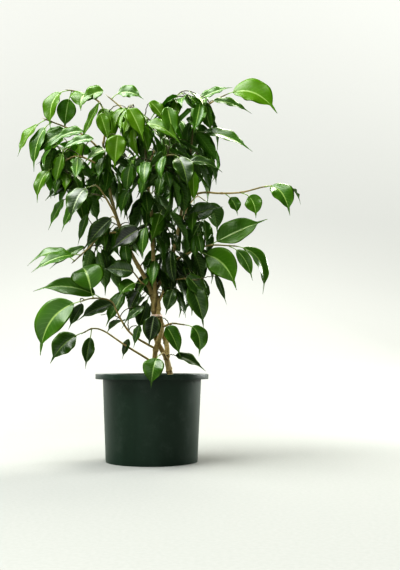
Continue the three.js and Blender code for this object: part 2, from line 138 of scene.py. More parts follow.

# The crown's masses of foliage in millimetres: the middle and half widths of each, how many twigs fill it,
# and the tone of its leaves at the bottom and at the top. The tone is the leaves' age with painted shade and
# light: leaves are set darker low in a mass, where shade falls, and brighter at its top, where the light
# falls.
MASSES = {
    "top_middle": {"middle": (-10, -6, 490), "half": (44, 56, 28), "twigs": 10, "age_and_shade_range": (0.55, 1.0)},
    "top_right": {"middle": (46, -6, 510), "half": (36, 50, 30), "twigs": 10, "age_and_shade_range": (0.25, 0.8)},
    "far_left": {"middle": (-130, -12, 446), "half": (32, 40, 30), "twigs": 8, "age_and_shade_range": (0.4, 0.8)},
    "upper_left": {"middle": (-104, 0, 420), "half": (58, 75, 62), "twigs": 18, "age_and_shade_range": (0.35, 0.9)},
    "centre": {"middle": (6, 10, 430), "half": (86, 105, 78), "twigs": 40, "age_and_shade_range": (0.2, 0.95)},
    "upper_right": {"middle": (72, 0, 470), "half": (32, 75, 60), "twigs": 11, "age_and_shade_range": (0.15, 0.7)},
    "core": {"middle": (6, 0, 316), "half": (32, 50, 68), "twigs": 14, "age_and_shade_range": (0.05, 0.4)},
    "middle_left": {"middle": (-60, 5, 322), "half": (48, 65, 36), "twigs": 8, "age_and_shade_range": (0.1, 0.5)},
    "middle_right": {"middle": (52, 5, 328), "half": (38, 60, 46), "twigs": 9, "age_and_shade_range": (0.15, 0.75)},
    "lower_right": {"middle": (48, 10, 250), "half": (36, 50, 48), "twigs": 8, "age_and_shade_range": (0.12, 0.5)},
    "lower_middle": {"middle": (4, 8, 252), "half": (40, 45, 28), "twigs": 6, "age_and_shade_range": (0.08, 0.4)},
    "lower_left": {"middle": (-62, 10, 222), "half": (50, 45, 46), "twigs": 4, "age_and_shade_range": (0.2, 0.4)},
}

# Leaves that stand out inside the crown, in millimetres: where each blade starts, its tip, how far its
# midrib bows up, its width, its tone, and the way its upper face looks. The tone is the leaf's age with
# painted shade and light: leaves deep in the crown's shade are set near black, lit ones bright.
SINGLE_LEAVES = (
    ((-113, -30, 391), (-151, -30, 366), 8, 24, 0.12, (-0.2, -1, 0.5)),
    ((-127, -20, 472), (-161, -20, 462), 5, 13, 0.5, (-0.1, -1, 0.5)),
    ((-75, -40, 505), (-102, -40, 444), 4, 12, 0.72, (-0.5, -1, 0.2)),
    ((-45, -70, 450), (-49, -74, 400), 5, 30, 1.0, (-0.1, -1, 0.3)),
    ((-53, -30, 220), (-103, -30, 196), 8, 24, 0.12, (0, -1, 0.7)),
    ((-26, -20, 266), (-70, -20, 270), 3, 29, 0.14, (0.1, -1, 0.3)),
    ((-18, -25, 238), (-33, -25, 204), 4, 20, 0.06, (-0.3, -1, 0.3)),
    ((-18, -30, 325), (-57, -30, 296), 4, 32, 0.0, (0, -1, 0.3)),
    ((-57, -30, 340), (-97, -30, 294), 7, 27, 0.08, (-0.2, -1, 0.5)),
    ((-32, -20, 171), (-41, -20, 143), 2, 11, 0.1, (-0.2, -1, 0.3)),
    ((52, -20, 345), (101, -20, 359), 4, 27, 0.16, (0.2, -1, 0.3)),
    ((51, -50, 416), (99, -50, 402), 14, 20, 0.14, (0, -1, 0.8)),
    ((87, -30, 511), (142, -30, 492), 10, 17, 0.2, (0, -1, 0.8)),
    ((66, 0, 522), (116, 0, 541), 7, 17, 0.5, (0, -1, 0.8)),
    ((90, -20, 262), (106, -20, 218), 4, 9, 0.14, (-0.3, -1, 0.2)),
    ((50, -30, 259), (80, -30, 219), 7, 25, 0.16, (0.2, -1, 0.4)),
    ((21, -30, 188), (42, -32, 142), 12, 24, 0.3, (0.4, -1, 0.3)),
    ((34, -25, 148), (76, -25, 126), 8, 20, 0.1, (0.1, -0.8, 1)),
    ((4, -30, 203), (-3, -34, 160), 2, 26, 0.03, (-0.1, -1, 0.2)),
    ((-123, -40, 366), (-144, -40, 322), 5, 13, 0.3, (-0.3, -1, 0.4)),
    ((-104, -50, 360), (-124, -50, 318), 5, 15, 0.34, (-0.3, -1, 0.4)),
    ((-91, -30, 347), (-104, -30, 302), 3, 12, 0.2, (-0.2, -1, 0.3)),
    ((58, -60, 402), (60, -64, 352), 5, 16, 0.85, (0.2, -1, 0.3)),
    ((-30, -66, 488), (-8, -78, 436), 8, 26, 0.9, (0.1, -1, 0.5)),
    ((23, -80, 486), (34, -92, 430), 7, 24, 0.6, (0.2, -1, 0.5)),
    ((-4, -84, 462), (44, -96, 428), 14, 26, 0.7, (0.1, -1, 0.8)),
    ((-70, -34, 524), (-104, -34, 504), 8, 25, 0.66, (-0.1, -1, 0.4)),
    ((-96, -44, 462), (-142, -48, 444), 10, 20, 0.5, (-0.1, -1, 0.6)),
    ((-80, -56, 448), (-126, -60, 430), 9, 18, 0.3, (0, -1, 0.7)),
    ((-72, -52, 486), (-58, -58, 440), 4, 20, 0.8, (0.1, -1, 0.3)),
    ((-2, -60, 500), (24, -66, 462), 8, 20, 0.8, (0.2, -1, 0.5)),
    ((30, -26, 240), (20, -30, 204), 3, 20, 0.12, (-0.1, -1, 0.3)),
    ((-10, -28, 216), (-38, -32, 192), 4, 15, 0.2, (-0.2, -1, 0.5)),
    ((-97, -20, 220), (-116, -26, 184), 4, 17, 0.14, (-0.2, -1, 0.4)),
    ((-16, -30, 190), (-24, -34, 158), 3, 12, 0.16, (-0.3, -1, 0.3)),
    ((-94, -30, 300), (-142, -36, 268), 7, 14, 0.4, (-0.1, -1, 0.6)),
)


# Sizes and colours that a user would change -----------------------------------------------------------


def linear(code):
    """An sRGB hex colour as linear red, green and blue."""
    parts = [int(code[k:k + 2], 16) / 255 for k in (1, 3, 5)]
    return tuple(c / 12.92 if c <= 0.04045 else ((c + 0.055) / 1.055) ** 2.4 for c in parts)


def length_property(name, millimetres, description):
    return FloatProperty(
        name=name, description=description, default=millimetres * MM, min=0, unit="LENGTH", precision=4)


def colour_property(name, code, description):
    return FloatVectorProperty(
        name=name, description=description, default=linear(code), size=3, min=0, max=1, subtype="COLOR")


class FigPot(bpy.types.PropertyGroup):
    wall: length_property("Wall", 1.6, "Thickness of the pot's wall")
    lip: length_property("Lip", 7, "How far the rolled lip turns down")
    taper: length_property("Taper", 15.5, "How much smaller than the rim the foot is, in radius")
    edge: length_property("Edge", 0.5, "Round of the moulding's small edges")
    floor_rise: length_property("Floor rise", 3, "How far the draining part of the floor is raised")
    floor: length_property("Floor", 2, "Thickness of the pot's floor")
    pad: length_property("Pad", 34, "Radius of the floor's flat middle")
    ring: length_property("Foot ring", 7, "Width of the ring that the pot stands on")
    hole: length_property("Drain hole", 2.75, "Radius of a drain hole")
    hole_circle: length_property("Hole circle", 46, "Radius of the circle of drain holes")
    holes: IntProperty(name="Drain holes", description="Number of drain holes", default=8, min=1)
    colour: colour_property("Plastic", "#132b1c", "Colour of the moulded plastic")


class FigLeaves(bpy.types.PropertyGroup):
    thickness: length_property("Thickness", 0.3, "Thickness of a leaf blade")
    midrib: length_property("Midrib", 0.55, "Radius of the rib under a blade")
    wave: length_property("Wave", 1.1, "Height of the waves in a blade's margin")
    fullness: FloatProperty(name="Fullness", description="Width of an outer leaf beside its solid's",
                            default=1.06, min=0.5, max=1.5)
    # The old colour is near black because it also paints shade: leaves set deep in the crown's shade take
    # it.
    old_and_shaded: colour_property("Old leaf", "#061004", "Upper side of the oldest leaves")
    grown: colour_property("Grown leaf", "#3b650e", "Upper side of a full-grown leaf")
    young: colour_property("Young leaf", "#60850c", "Upper side of the newest leaves")
    back: colour_property("Leaf back", "#55743a", "Underside of a leaf")
    rib: colour_property("Rib", "#a9c274", "Midrib and leaf stalk")
    seed: IntProperty(name="Seed", description="Seed of the leaves' waves and turns", default=7)


class FigGrowth(bpy.types.PropertyGroup):
    seed: IntProperty(name="Seed", description="Seed of the twigs and leaves inside the crown", default=5)
    leaf_spacing: length_property("Leaf spacing", 15, "Twig between one leaf and the next")
    leaf_length: length_property("Leaf length", 56, "Mean length of an inner leaf's blade")
    slenderness: FloatProperty(name="Slenderness", description="Width of a blade over its length",
                               default=0.42, subtype="FACTOR", min=0, max=1)
    twig: length_property("Twig", 0.9, "Radius of a twig where it starts")


class FigWood(bpy.types.PropertyGroup):
    ridge: length_property("Bark ridge", 0.12, "Height of the ridges in the bark")
    bark: colour_property("Bark", "#a39260", "Colour of the stems' bark")
    shoot: colour_property("Shoot", "#4f5229", "Colour of the green wood at the ends")
    crumb: length_property("Crumb", 2.2, "Size of the potting mix's crumbs")
    mix: colour_property("Potting mix", "#33261b", "Colour of the damp potting mix")


# Meshes ------------------------------------------------------------------------------------------------


def linked(name, data):
    """An object of a mesh, lamp or camera, in the scene at its origin."""
    made = bpy.data.objects.new(name, data)
    bpy.context.scene.collection.objects.link(made)
    return made


def smoothed(made):
    """Shades a mesh smoothly, so that its facets don't show."""
    made.data.polygons.foreach_set("use_smooth", [True] * len(made.data.polygons))
    return made


def mesh_object(name, points, faces, material, values=None):
    """A smooth mesh with float attributes on its points, at the origin."""
    mesh = bpy.data.meshes.new(name)
    mesh.from_pydata([tuple(p) for p in points], [], faces)
    for key, numbers in (values or {}).items():
        mesh.attributes.new(key, "FLOAT", "POINT").data.foreach_set("value", np.asarray(numbers, np.float32))
    mesh.materials.append(material)
    return smoothed(linked(name, mesh))


def finished(piece, slot, *nodes):
    """Ties a finished piece to the plant's one body and hides the nodes it stands for. Its slot is not used.
    """
    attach(piece, BODY)
    if nodes:
        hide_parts(*nodes)
    return piece


def outward(made):
    """Welds a spun or joined shape and turns its faces outwards."""
    work = bmesh.new()
    work.from_mesh(made.data)
    bmesh.ops.remove_doubles(work, verts=work.verts, dist=WELD)
    bmesh.ops.recalc_face_normals(work, faces=work.faces)
    work.to_mesh(made.data)
    work.free()
    return made


def settled(made):
    """Replaces an object's mesh with what its modifiers make of it, and removes them."""
    graph = bpy.context.evaluated_depsgraph_get()
    mesh = bpy.data.meshes.new_from_object(made.evaluated_get(graph))
    made.modifiers.clear()
    made.data = mesh
    return made


# Reading the frame's swept solids ----------------------------------------------------------------------


def welded(node):
    """A node's mesh with its loose triangles joined, as a bmesh."""
    work = bmesh.new()
    work.from_mesh(NODES[node].data)
    bmesh.ops.remove_doubles(work, verts=work.verts, dist=WELD)
    return work


def places_of(node):
    """The points of a node's mesh."""
    return [v.co for v in NODES[node].data.vertices]


def finder(points):
    """A tree that finds the nearest of the points."""
    tree = KDTree(len(points))
    for k, point in enumerate(points):
        tree.insert(point, k)
    tree.balance()
    return tree


def end_beside(node, tree):
    """The point of a node that is nearest to any of a finder's points."""
    return min(places_of(node), key=lambda place: tree.find(place)[2]).copy()


def branch_of(leaf):
    """The branch node that a leaf node grows on: leaf_far_left_2 is on branch_far_left."""
    return "branch_" + leaf[len("leaf_"):].rsplit("_", 1)[0]


def middle_of(points):
    return sum(points, Vector()) / len(points)


def layers(start):
    """Sets of points, each one edge further from the start."""
    seen = set(start)
    layer = set(start)
    while layer:
        yield layer
        layer = {edge.other_vert(v) for v in layer for edge in v.link_edges} - seen
        seen |= layer


def rings(node, sides, root):
    """The rings of a swept solid from its root to its free end, and the points that its cut start leaves.
    root is a place beside the end that grows from something."""
    work = welded(node)
    nearest = min(work.verts, key=lambda v: (v.co - root).length)
    far = list(layers({nearest}))[-1]
    end = middle_of([v.co for v in far])
    first = {v for v in work.verts if (v.co - end).length < END_SIZE}
    found = []
    rest = []
    for layer in layers(first):
        whole = len(layer) == sides or (layer == first and len(layer) == sides + 1)
        if whole and not rest:
            found.append([v.co.copy() for v in layer])
        else:
            rest.extend(v.co.copy() for v in layer)
    work.free()
    if len(found) < 4:
        raise RuntimeError(f"{node} is not the swept solid that was expected: {len(found)} rings")
    found.reverse()
    return found, rest


def smooth_through(places, rows, wanted):
    """Rows of numbers given at rising places, read at the wanted places on a smooth curve through them."""
    places = np.asarray(places, float)
    rows = np.asarray(rows, float)
    slopes = np.gradient(rows, places, axis=0)
    wanted = np.asarray(wanted, float)
    k = np.clip(np.searchsorted(places, wanted, side="right") - 1, 0, len(places) - 2)
    span = (places[k + 1] - places[k])[:, None]
    t = (wanted - places[k])[:, None] / span
    return (
        rows[k] * (2 * t ** 3 - 3 * t ** 2 + 1)
        + slopes[k] * span * (t ** 3 - 2 * t ** 2 + t)
        + rows[k + 1] * (3 * t ** 2 - 2 * t ** 3)
        + slopes[k + 1] * span * (t ** 3 - t ** 2)
    )


def run_lengths(points):
    steps = [(b - a).length for a, b in zip(points, points[1:])]
    return [0.0, *np.cumsum(steps)]


def square_to(tangent, direction):
    return (direction - tangent * direction.dot(tangent)).normalized()


# Wood --------------------------------------------------------------------------------------------------

KNOT_SWELL, KNOT_LENGTH = 0.32, 1.6 * MM  # a knot's swelling as a share of the radius, and its half length
RIDGES, RIDGE_LENGTH = 1.6, 9 * MM  # how many bark ridges go round, and how long one is
BARK_STEP = 1.5 * MM


class Limb:
    """The line of a stem, branch or twig, and how thick it is along it. With a sink, it starts sooner by
    that, inside what it grows from."""

    def __init__(self, points, radii, sink=0.0):
        if sink:
            inward = (points[0] - points[1]).normalized() * sink
            points = [points[0] + inward, *points]
            radii = [radii[0], *radii]
        self.at = run_lengths(points)
        self.points = points
        self.radii = radii
        self.length = self.at[-1]

    def sampled(self, step):
        """Places, points, headings and radii every step along the limb."""
        count = max(int(round(self.length / step)), 3)
        wanted = np.linspace(0, self.length, count + 1)
        rows = [(*p, r) for p, r in zip(self.points, self.radii)]
        table = smooth_through(self.at, rows, wanted)
        points = [Vector(row[:3]) for row in table]
        headings = []
        for k in range(len(points)):
            before, after = points[max(k - 1, 0)], points[min(k + 1, len(points) - 1)]
            headings.append((after - before).normalized())
        return wanted, points, headings, [max(row[3], 0.2 * MM) for row in table]


def limb_of_node(node, sides, root):
    """The limb that a frame node sweeps."""
    found, rest = rings(node, sides, root)
    points = [middle_of(ring) for ring in found]
    radii = [sum((p - c).length for p in ring) / len(ring) for ring, c in zip(found, points)]
    if rest:
        cut = middle_of(rest)
        points.insert(0, cut)
        radii.insert(0, radii[0])
        return Limb(points, radii, ROOT_SINK)
    return Limb(points, radii)


def bark_skin(limb, sides, step, ridge, knots, seed, bud=0.0):
    """A limb's surface: ridges run along it, it swells at each knot, and it ends in a pointed bud."""
    at, points, headings, radii = limb.sampled(step)
    across = square_to(headings[0], Vector((1, 0.3, 0.2)))
    drift = Vector((seed * 3.7, seed * 1.9, 0))
    verts, faces, values = [], [], {"length": [], "round": [], "young": []}
    for k, (place, point, heading, radius) in enumerate(zip(at, points, headings, radii)):
        across = square_to(heading, across)
        side = heading.cross(across)
        swell = sum(KNOT_SWELL * math.exp(-(((place - knot) / KNOT_LENGTH) ** 2)) for knot in knots)
        for j in range(sides):
            turn = 2 * math.pi * j / sides
            spoke = across * math.cos(turn) + side * math.sin(turn)
            grain = Vector((math.cos(turn), math.sin(turn), 0)) * RIDGES
            grain = grain + Vector((0, 0, place / RIDGE_LENGTH)) + drift
            reach = radius * (1 + swell) + ridge * (noise.noise(grain) * 1.3)
            verts.append(point + spoke * reach)
            values["length"].append(place)
            values["round"].append(j / sides)
            values["young"].append(place / limb.length)
    rows = len(points)
    for k in range(rows - 1):
        for j in range(sides):
            a, b = k * sides + j, k * sides + (j + 1) % sides
            faces.append((a, b, b + sides, a + sides))
    last = (rows - 1) * sides
    tip = len(verts)
    verts.extend([points[-1] + headings[-1] * max(bud, radii[-1] * 0.6), points[0]])
    for key, end, start in (("length", at[-1], 0), ("round", 0, 0), ("young", 1, 0)):
        values[key].extend([end, start])
    for j in range(sides):
        faces.append((last + j, last + (j + 1) % sides, tip))
        faces.append(((j + 1) % sides, j, tip + 1))
    return verts, faces, values


# Leaves ------------------------------------------------------------------------------------------------

STEM_SIDES, BRANCH_SIDES, LEAF_SIDES = 8, 6, 4  # points in a ring of the frame's swept solids
FRAME_BLADE_RINGS = 8  # a blade in the frame has this many rings, and its stalk has the others
TIP_LENGTHENED = 1.5 * MM  # the drip tip runs on this far past the solid's blunt end
STALK_SPACING = 1 * MM  # points of a stalk that are closer together are left out
OUTER_STALK, INNER_STALK = 0.62 * MM, 0.55 * MM  # radii
DRIP_TIP = 0.17  # the drip tip's share of a blade's length
BLADE_ROWS, BLADE_COLUMNS = 36, 7  # along an outer leaf, and on each side of its midrib
SINGLE_ROWS, SINGLE_COLUMNS = 22, 4
SINGLE_FOLD = 0.24  # how far a single leaf's margin rises, as a share of its half width
GROOVE_DEPTH, GROOVE_WIDTH = 0.35 * MM, 0.9 * MM  # of the groove over the midrib
RIB_WIDTH = 0.8 * MM
FULL_WAVE = 6 * MM  # a blade narrower than this beside its midrib waves less
OTHER_MARGIN = 2.1  # how far one margin's waves are ahead of the other's, in radians


def outline(t):
    """Share of a blade's full half width at t of its length: a pointed oval that ends in a drip tip."""
    body = min(t / (1 - DRIP_TIP), 1)
    oval = math.sin(math.pi * body ** 0.86) ** 0.72 if 0 < body < 1 else 0
    tip = 0.10 * (1 - t) / DRIP_TIP + 0.012
    return max(oval, min(tip, 0.10) if t > 0.5 else 0.05)


def blade_skin(rows_at, centres, sides, tops, halves, rises, style, columns, chance):
    """A leaf blade as a closed, thin shell: the upper face, the lower face and a shared margin. It folds
    along the midrib, sags between the midrib and the margin, and waves along the margin. rows_at has each
    row's share of the blade's length, and rises how far its margin stands over its midrib."""
    rows = len(centres)
    phase = chance.uniform(0, 2 * math.pi)
    waves = chance.uniform(2.2, 3.4)
    bend = chance.uniform(-0.5, 0.5)
    verts, values = [], {"across": [], "along": [], "under": []}
    shares = [j / columns for j in range(-columns, columns + 1)]

    def add(k, share, lower):
        t = rows_at[k]
        off = abs(share)
        half = halves[k]
        fill = min(half / FULL_WAVE, 1)
        wave = math.sin(waves * 2 * math.pi * t + phase + (share > 0) * OTHER_MARGIN)
        height = rises[k] * (1.35 * off - 0.35 * off ** 2)
        height += style.wave * fill * off ** 2 * wave
        height -= GROOVE_DEPTH * fill * math.exp(-((off * half / GROOVE_WIDTH) ** 2))
        height += bend * half * 0.12 * share * fill
        if lower:
            rib = style.midrib * (1 - 0.7 * t) * math.exp(-((off * half / RIB_WIDTH) ** 2))
            height -= style.thickness + rib * min(fill * 2, 1)
        verts.append(centres[k] + sides[k] * (half * share) + tops[k] * height)
        values["across"].append(share)
        values["along"].append(t)
        values["under"].append(1.0 if lower else 0.0)
        return len(verts) - 1

    upper = [[add(k, share, False) for share in shares] for k in range(rows)]
    lower = []
    for k in range(rows):
        inner = [add(k, share, True) for share in shares[1:-1]]
        lower.append([upper[k][0], *inner, upper[k][-1]])
    faces = []
    for k in range(rows - 1):
        for j in range(2 * columns):
            faces.append((upper[k][j], upper[k][j + 1], upper[k + 1][j + 1], upper[k + 1][j]))
            faces.append((lower[k][j + 1], lower[k][j], lower[k + 1][j], lower[k + 1][j + 1]))
    for k, flip in ((0, False), (rows - 1, True)):
        for j in range(2 * columns):
            loop = list(dict.fromkeys((upper[k][j], lower[k][j], lower[k][j + 1], upper[k][j + 1])))
            faces.append(tuple(reversed(loop)) if flip else tuple(loop))
    return verts, faces, values


def stalk_skin(points, radius, sides=7, count=8):
    """A leaf stalk: a thin tube, a little thicker at both ends."""
    at = run_lengths(points)
    table = smooth_through(at, [tuple(p) for p in points], np.linspace(0, at[-1], count + 1))
    line = [Vector(row) for row in table]
    radii = [radius * (1 + 0.5 * abs(2 * k / count - 1) ** 3) for k in range(count + 1)]
    verts, faces, _ = bark_skin(Limb(line, radii), sides, at[-1] / count, 0, (), 0)
    return verts, faces, {key: [0.0] * len(verts) for key in ("across", "along", "under")}


def joined(*skins):
    """Several skins as one: their points, faces and values."""
    verts, faces, values = [], [], {}
    for points, loops, numbers in skins:
        start = len(verts)
        verts.extend(points)
        faces.extend(tuple(i + start for i in loop) for loop in loops)
        for key, row in numbers.items():
            values.setdefault(key, []).extend(row)
    return verts, faces, values


def blade_rings(found):
    """Splits a leaf's rings into centre, side, top, half width and rise of the margin, from base to tip."""
    widths = [max((a - b).length for a in ring for b in ring) for ring in found]
    widest = widths.index(max(widths))
    reading = [None] * len(found)
    order = [*range(widest, len(found)), *range(widest - 1, -1, -1)]
    heading = (middle_of(found[-1]) - middle_of(found[0])).normalized()
    known = None
    for k in order:
        ring = found[k]
        if k in (widest, widest - 1):
            known = reading[widest]
        pairs = [(a, b) for i, a in enumerate(ring) for b in ring[i + 1:]]
        edge = max(pairs, key=lambda pair: (pair[0] - pair[1]).length)
        if known is not None:
            edge = max(pairs, key=lambda pair: abs((pair[0] - pair[1]).dot(known[1])))
        rest = [p for p in ring if p is not edge[0] and p is not edge[1]] or [middle_of(ring)]
        centre = middle_of(rest)
        side = (edge[1] - edge[0]).normalized()
        if known is None:
            top = square_to(side, (edge[0] + edge[1]) / 2 - centre)
            if side.cross(top).dot(heading) > 0:
                side = -side
        else:
            if side.dot(known[1]) < 0:
                side = -side
            top = square_to(side, known[2])
        rise = ((edge[0] + edge[1]) / 2 - centre).dot(top)
        reading[k] = (centre, side, top, (edge[1] - edge[0]).length / 2, max(rise, 0))
        known = reading[k]
    return reading


def outer_leaf(node, style, chance):
    """One leaf of the frame, with its stalk."""
    wood = finder(places_of(branch_of(node)))
    found, rest = rings(node, LEAF_SIDES, end_beside(node, wood))
    stalk_rings, blade = found[:-FRAME_BLADE_RINGS], found[-FRAME_BLADE_RINGS:]
    reading = blade_rings(blade)
    at = run_lengths([row[0] for row in reading])
    rows = [(*centre, *side, *top, half, rise) for centre, side, top, half, rise in reading]
    share = np.linspace(0, 1, BLADE_ROWS)
    table = smooth_through(at, rows, at[-1] * share)
    centres = [Vector(row[0:3]) for row in table]
    sides = [Vector(row[3:6]).normalized() for row in table]
    tops = [square_to(s, Vector(row[6:9])) for s, row in zip(sides, table)]
    widest = max(row[3] for row in reading)
    halves = [widest * style.fullness * outline(t) for t in share]
    rises = [max(row[10], 0) for row in table]
    tip = (centres[-1] - centres[-3]).normalized()
    centres[-1] = centres[-1] + tip * TIP_LENGTHENED
    foot = middle_of(rest) if rest else middle_of(stalk_rings[0])
    nearest = wood.find(foot)[0]
    start = foot + (nearest - foot).normalized() * min((nearest - foot).length, ROOT_SINK)
    line = [start, *[middle_of(ring) for ring in stalk_rings], centres[0], centres[2]]
    spaced = [line[0]]
    for point in line[1:]:
        if (point - spaced[-1]).length > STALK_SPACING:
            spaced.append(point)
    if len(spaced) < 3:
        spaced.insert(1, (spaced[0] + spaced[-1]) / 2)
    blade = blade_skin(share, centres, sides, tops, halves, rises, style, BLADE_COLUMNS, chance)
    return joined(stalk_skin(spaced, OUTER_STALK), blade)


# Nodes of materials ------------------------------------------------------------------------------------


# Each kind of node used below: its type, its settings, the inputs that its values feed in order, and the
# output that is read.
MATH, MIX = "ShaderNodeMath", "ShaderNodeMix"
KINDS = {
    "absolute": (MATH, {"operation": "ABSOLUTE"}, (0,), 0),
    "sum": (MATH, {"operation": "ADD"}, (0, 1), 0),
    "product": (MATH, {"operation": "MULTIPLY"}, (0, 1), 0),
    "product_sum": (MATH, {"operation": "MULTIPLY_ADD"}, (0, 1, 2), 0),
    "quotient": (MATH, {"operation": "DIVIDE"}, (0, 1), 0),
    "to_and_fro": (MATH, {"operation": "PINGPONG"}, (0, 1), 0),
    "length": ("ShaderNodeVectorMath", {"operation": "LENGTH"}, (0,), "Value"),
    "ramp": ("ShaderNodeMapRange", {"interpolation_type": "SMOOTHSTEP"}, (0, 1, 2, 3, 4), 0),
    "blend": (MIX, {"data_type": "RGBA"}, (0, 6, 7), 2),
    "tint": (MIX, {"data_type": "RGBA", "blend_type": "MULTIPLY"}, (0, 6, 7), 2),
    "place": ("ShaderNodeTexCoord", {}, (), "Object"),
    "mapping": ("ShaderNodeMapping", {}, ("Vector", "Scale"), 0),
    "noise": ("ShaderNodeTexNoise", {}, ("Vector", "Scale", "Detail", "Roughness"), "Fac"),
    "cells": ("ShaderNodeTexVoronoi", {}, ("Vector", "Scale"), 0),
    "attribute": ("ShaderNodeAttribute", {}, (), "Fac"),
    "bump": ("ShaderNodeBump", {}, ("Height", "Distance"), 0),
    "surface": ("ShaderNodeBsdfPrincipled", {}, ("Base Color", "Roughness", "Normal", "IOR"), 0),
    "waxy": ("ShaderNodeBsdfPrincipled", {},
             ("Base Color", "Roughness", "Normal", "IOR", "Subsurface Weight", "Subsurface Scale"), 0),
    "paper": ("ShaderNodeBsdfPrincipled", {},
              ("Base Color", "Roughness", "Specular IOR Level", "Emission Color", "Emission Strength"), 0),
    "see_through": ("ShaderNodeBsdfTranslucent", {}, ("Color", "Normal"), 0),
    "background": ("ShaderNodeBackground", {}, ("Color", "Strength"), 0),
    "mixed": ("ShaderNodeMixShader", {}, (0, 1, 2), 0),
    "light_path": ("ShaderNodeLightPath", {}, (), "Is Camera Ray"),
    "material": ("ShaderNodeOutputMaterial", {}, ("Surface",), None),
    "world": ("ShaderNodeOutputWorld", {}, ("Surface",), None),
    "given": ("GeometryNodeInputNamedAttribute", {}, ("Name",), 0),
    "spots": ("GeometryNodeDistributePointsOnFaces", {}, ("Mesh", "Density", "Seed"), "Points"),
    "shapes": ("GeometryNodeCollectionInfo", {}, ("Collection", "Separate Children", "Reset Children"), 0),
    "random_turn": ("FunctionNodeRandomValue", {"data_type": "FLOAT_VECTOR"}, ("Min", "Max", "Seed"), 0),
    "random_size": ("FunctionNodeRandomValue", {"data_type": "FLOAT"}, (2, 3, "Seed"), 1),
    "copies": ("GeometryNodeInstanceOnPoints", {},
               ("Points", "Instance", "Pick Instance", "Rotation", "Scale", "Instance Index"), 0),
    "curve": ("GeometryNodeMeshToCurve", {}, ("Mesh",), 0),
    "circle": ("GeometryNodeCurvePrimitiveCircle", {}, ("Resolution", "Radius"), 0),
    "tube": ("GeometryNodeCurveToMesh", {}, ("Curve", "Profile Curve", "Scale", "Fill Caps"), 0),
    "real": ("GeometryNodeRealizeInstances", {}, ("Geometry",), 0),
    "coated": ("GeometryNodeSetMaterial", {}, ("Geometry", "Material"), 0),
    "result": ("NodeGroupOutput", {}, (0,), None),
}


def add(tree, kind, *values, **settings):
    """Adds a node and gives back its output. A value is a number, a colour, a thing or the socket that feeds
    the input."""
    type_name, fixed, order, out = KINDS[kind]
    node = tree.nodes.new(type_name)
    for key, value in {**fixed, **settings}.items():
        setattr(node, key, value)
    for key, value in zip(order, values):
        if isinstance(value, bpy.types.NodeSocket):
            tree.links.new(value, node.inputs[key])
        elif node.inputs[key].type == "RGBA":
            node.inputs[key].default_value = (*value[:3], 1)
        else:
            node.inputs[key].default_value = value
    return None if out is None else node.outputs[out]


def new_material(name):
    """A material and its empty tree, or no tree if the material has been made before."""
    material = bpy.data.materials.get(name)
    if material:
        return material, None
    material = bpy.data.materials.new(name)
    material.use_nodes = True
    material.node_tree.nodes.clear()
    return material, material.node_tree


def specks(tree, size, detail=2.0, stretch=(1, 1, 1), roughness=0.5):
    """Noise whose lumps are about size metres across."""
    place = add(tree, "mapping", add(tree, "place"), stretch)
    return add(tree, "noise", place, 1 / size, detail, roughness)


def leaf_cuticle():
    """Weeping fig leaf: a waxy skin over a thin blade. The wax gives clear, slightly broken highlights, the
    blade glows yellow-green when the light is behind it, and the midrib shows as a fine pale line. The green
    also holds painted shade and light: a leaf's tone takes it from the near-black old colour, for leaves in
    shade, to the young green, for lit ones."""
    material, tree = new_material("fig_leaf_waxy_cuticle")
    if tree is None:
        return material
    style = bpy.context.scene.fig_leaves
    names = ("across", "along", "under", "tone")
    across, along, under, tone = (add(tree, "attribute", attribute_name=name) for name in names)
    off = add(tree, "absolute", across)
    # Painted shade and light with the leaf's age: a low tone darkens leaves in shade towards the near-black
    # old colour, a high one brightens lit leaves towards the young green.
    shaded_old_to_grown = add(tree, "ramp", tone, -0.05, 0.42)
    grown_to_young_and_lit = add(tree, "ramp", tone, 0.45, 1.0)
    green = add(tree, "blend", shaded_old_to_grown, style.old_and_shaded, style.grown)
    green = add(tree, "blend", grown_to_young_and_lit, green, style.young)
    patches = add(tree, "ramp", specks(tree, 22 * MM, 3), 0.35, 0.7)
    green = add(tree, "blend", add(tree, "product", patches, 0.22), green, linear("#0d2409"))
    edge = add(tree, "ramp", off, 0.5, 1.0, 0.0, 0.25)
    green = add(tree, "blend", edge, green, style.young)
    slant = add(tree, "product_sum", off, -0.16, along)
    veins = add(tree, "to_and_fro", slant, 0.04)
    vein = add(tree, "ramp", veins, 0.0, 0.012, 0.5, 0.0)
    vein = add(tree, "product", vein, add(tree, "ramp", off, 0.1, 0.95, 1.0, 0.0))
    green = add(tree, "blend", add(tree, "product", vein, 0.22), green, style.rib)
    rib = add(tree, "ramp", off, 0.02, 0.09, 1.0, 0.0)
    rib_share = add(tree, "product", rib, add(tree, "ramp", tone, 0.1, 0.55, 0.25, 0.75))
    upper = add(tree, "blend", rib_share, green, style.rib)
    lower = add(tree, "blend", add(tree, "product", rib, 0.6), style.back, style.rib)
    lower = add(tree, "blend", 0.45, lower, green)
    lower = add(tree, "blend", add(tree, "product", vein, 0.5), lower, style.rib)
    colour = add(tree, "blend", under, upper, lower)
    fine = specks(tree, 1.6 * MM, 3)
    wax = add(tree, "product_sum", fine, 0.16, 0.25)
    wax = add(tree, "sum", wax, add(tree, "product", under, 0.2))
    relief = add(tree, "product_sum", vein, -0.6, add(tree, "product", fine, 0.35))
    normal = add(tree, "bump", relief, 0.12 * MM)
    skin = add(tree, "surface", colour, wax, normal, 1.42)
    through = add(tree, "tint", 0.72, colour, linear("#9fd022"))
    glow = add(tree, "blend", add(tree, "ramp", tone, 0.2, 1.0, 0.25, 0.85), through, linear("#80ae18"))
    lit = add(tree, "see_through", glow, normal)
    share = add(tree, "ramp", tone, 0.05, 1.0, 0.08, 0.5)
    add(tree, "material", add(tree, "mixed", share, skin, lit))
    return material


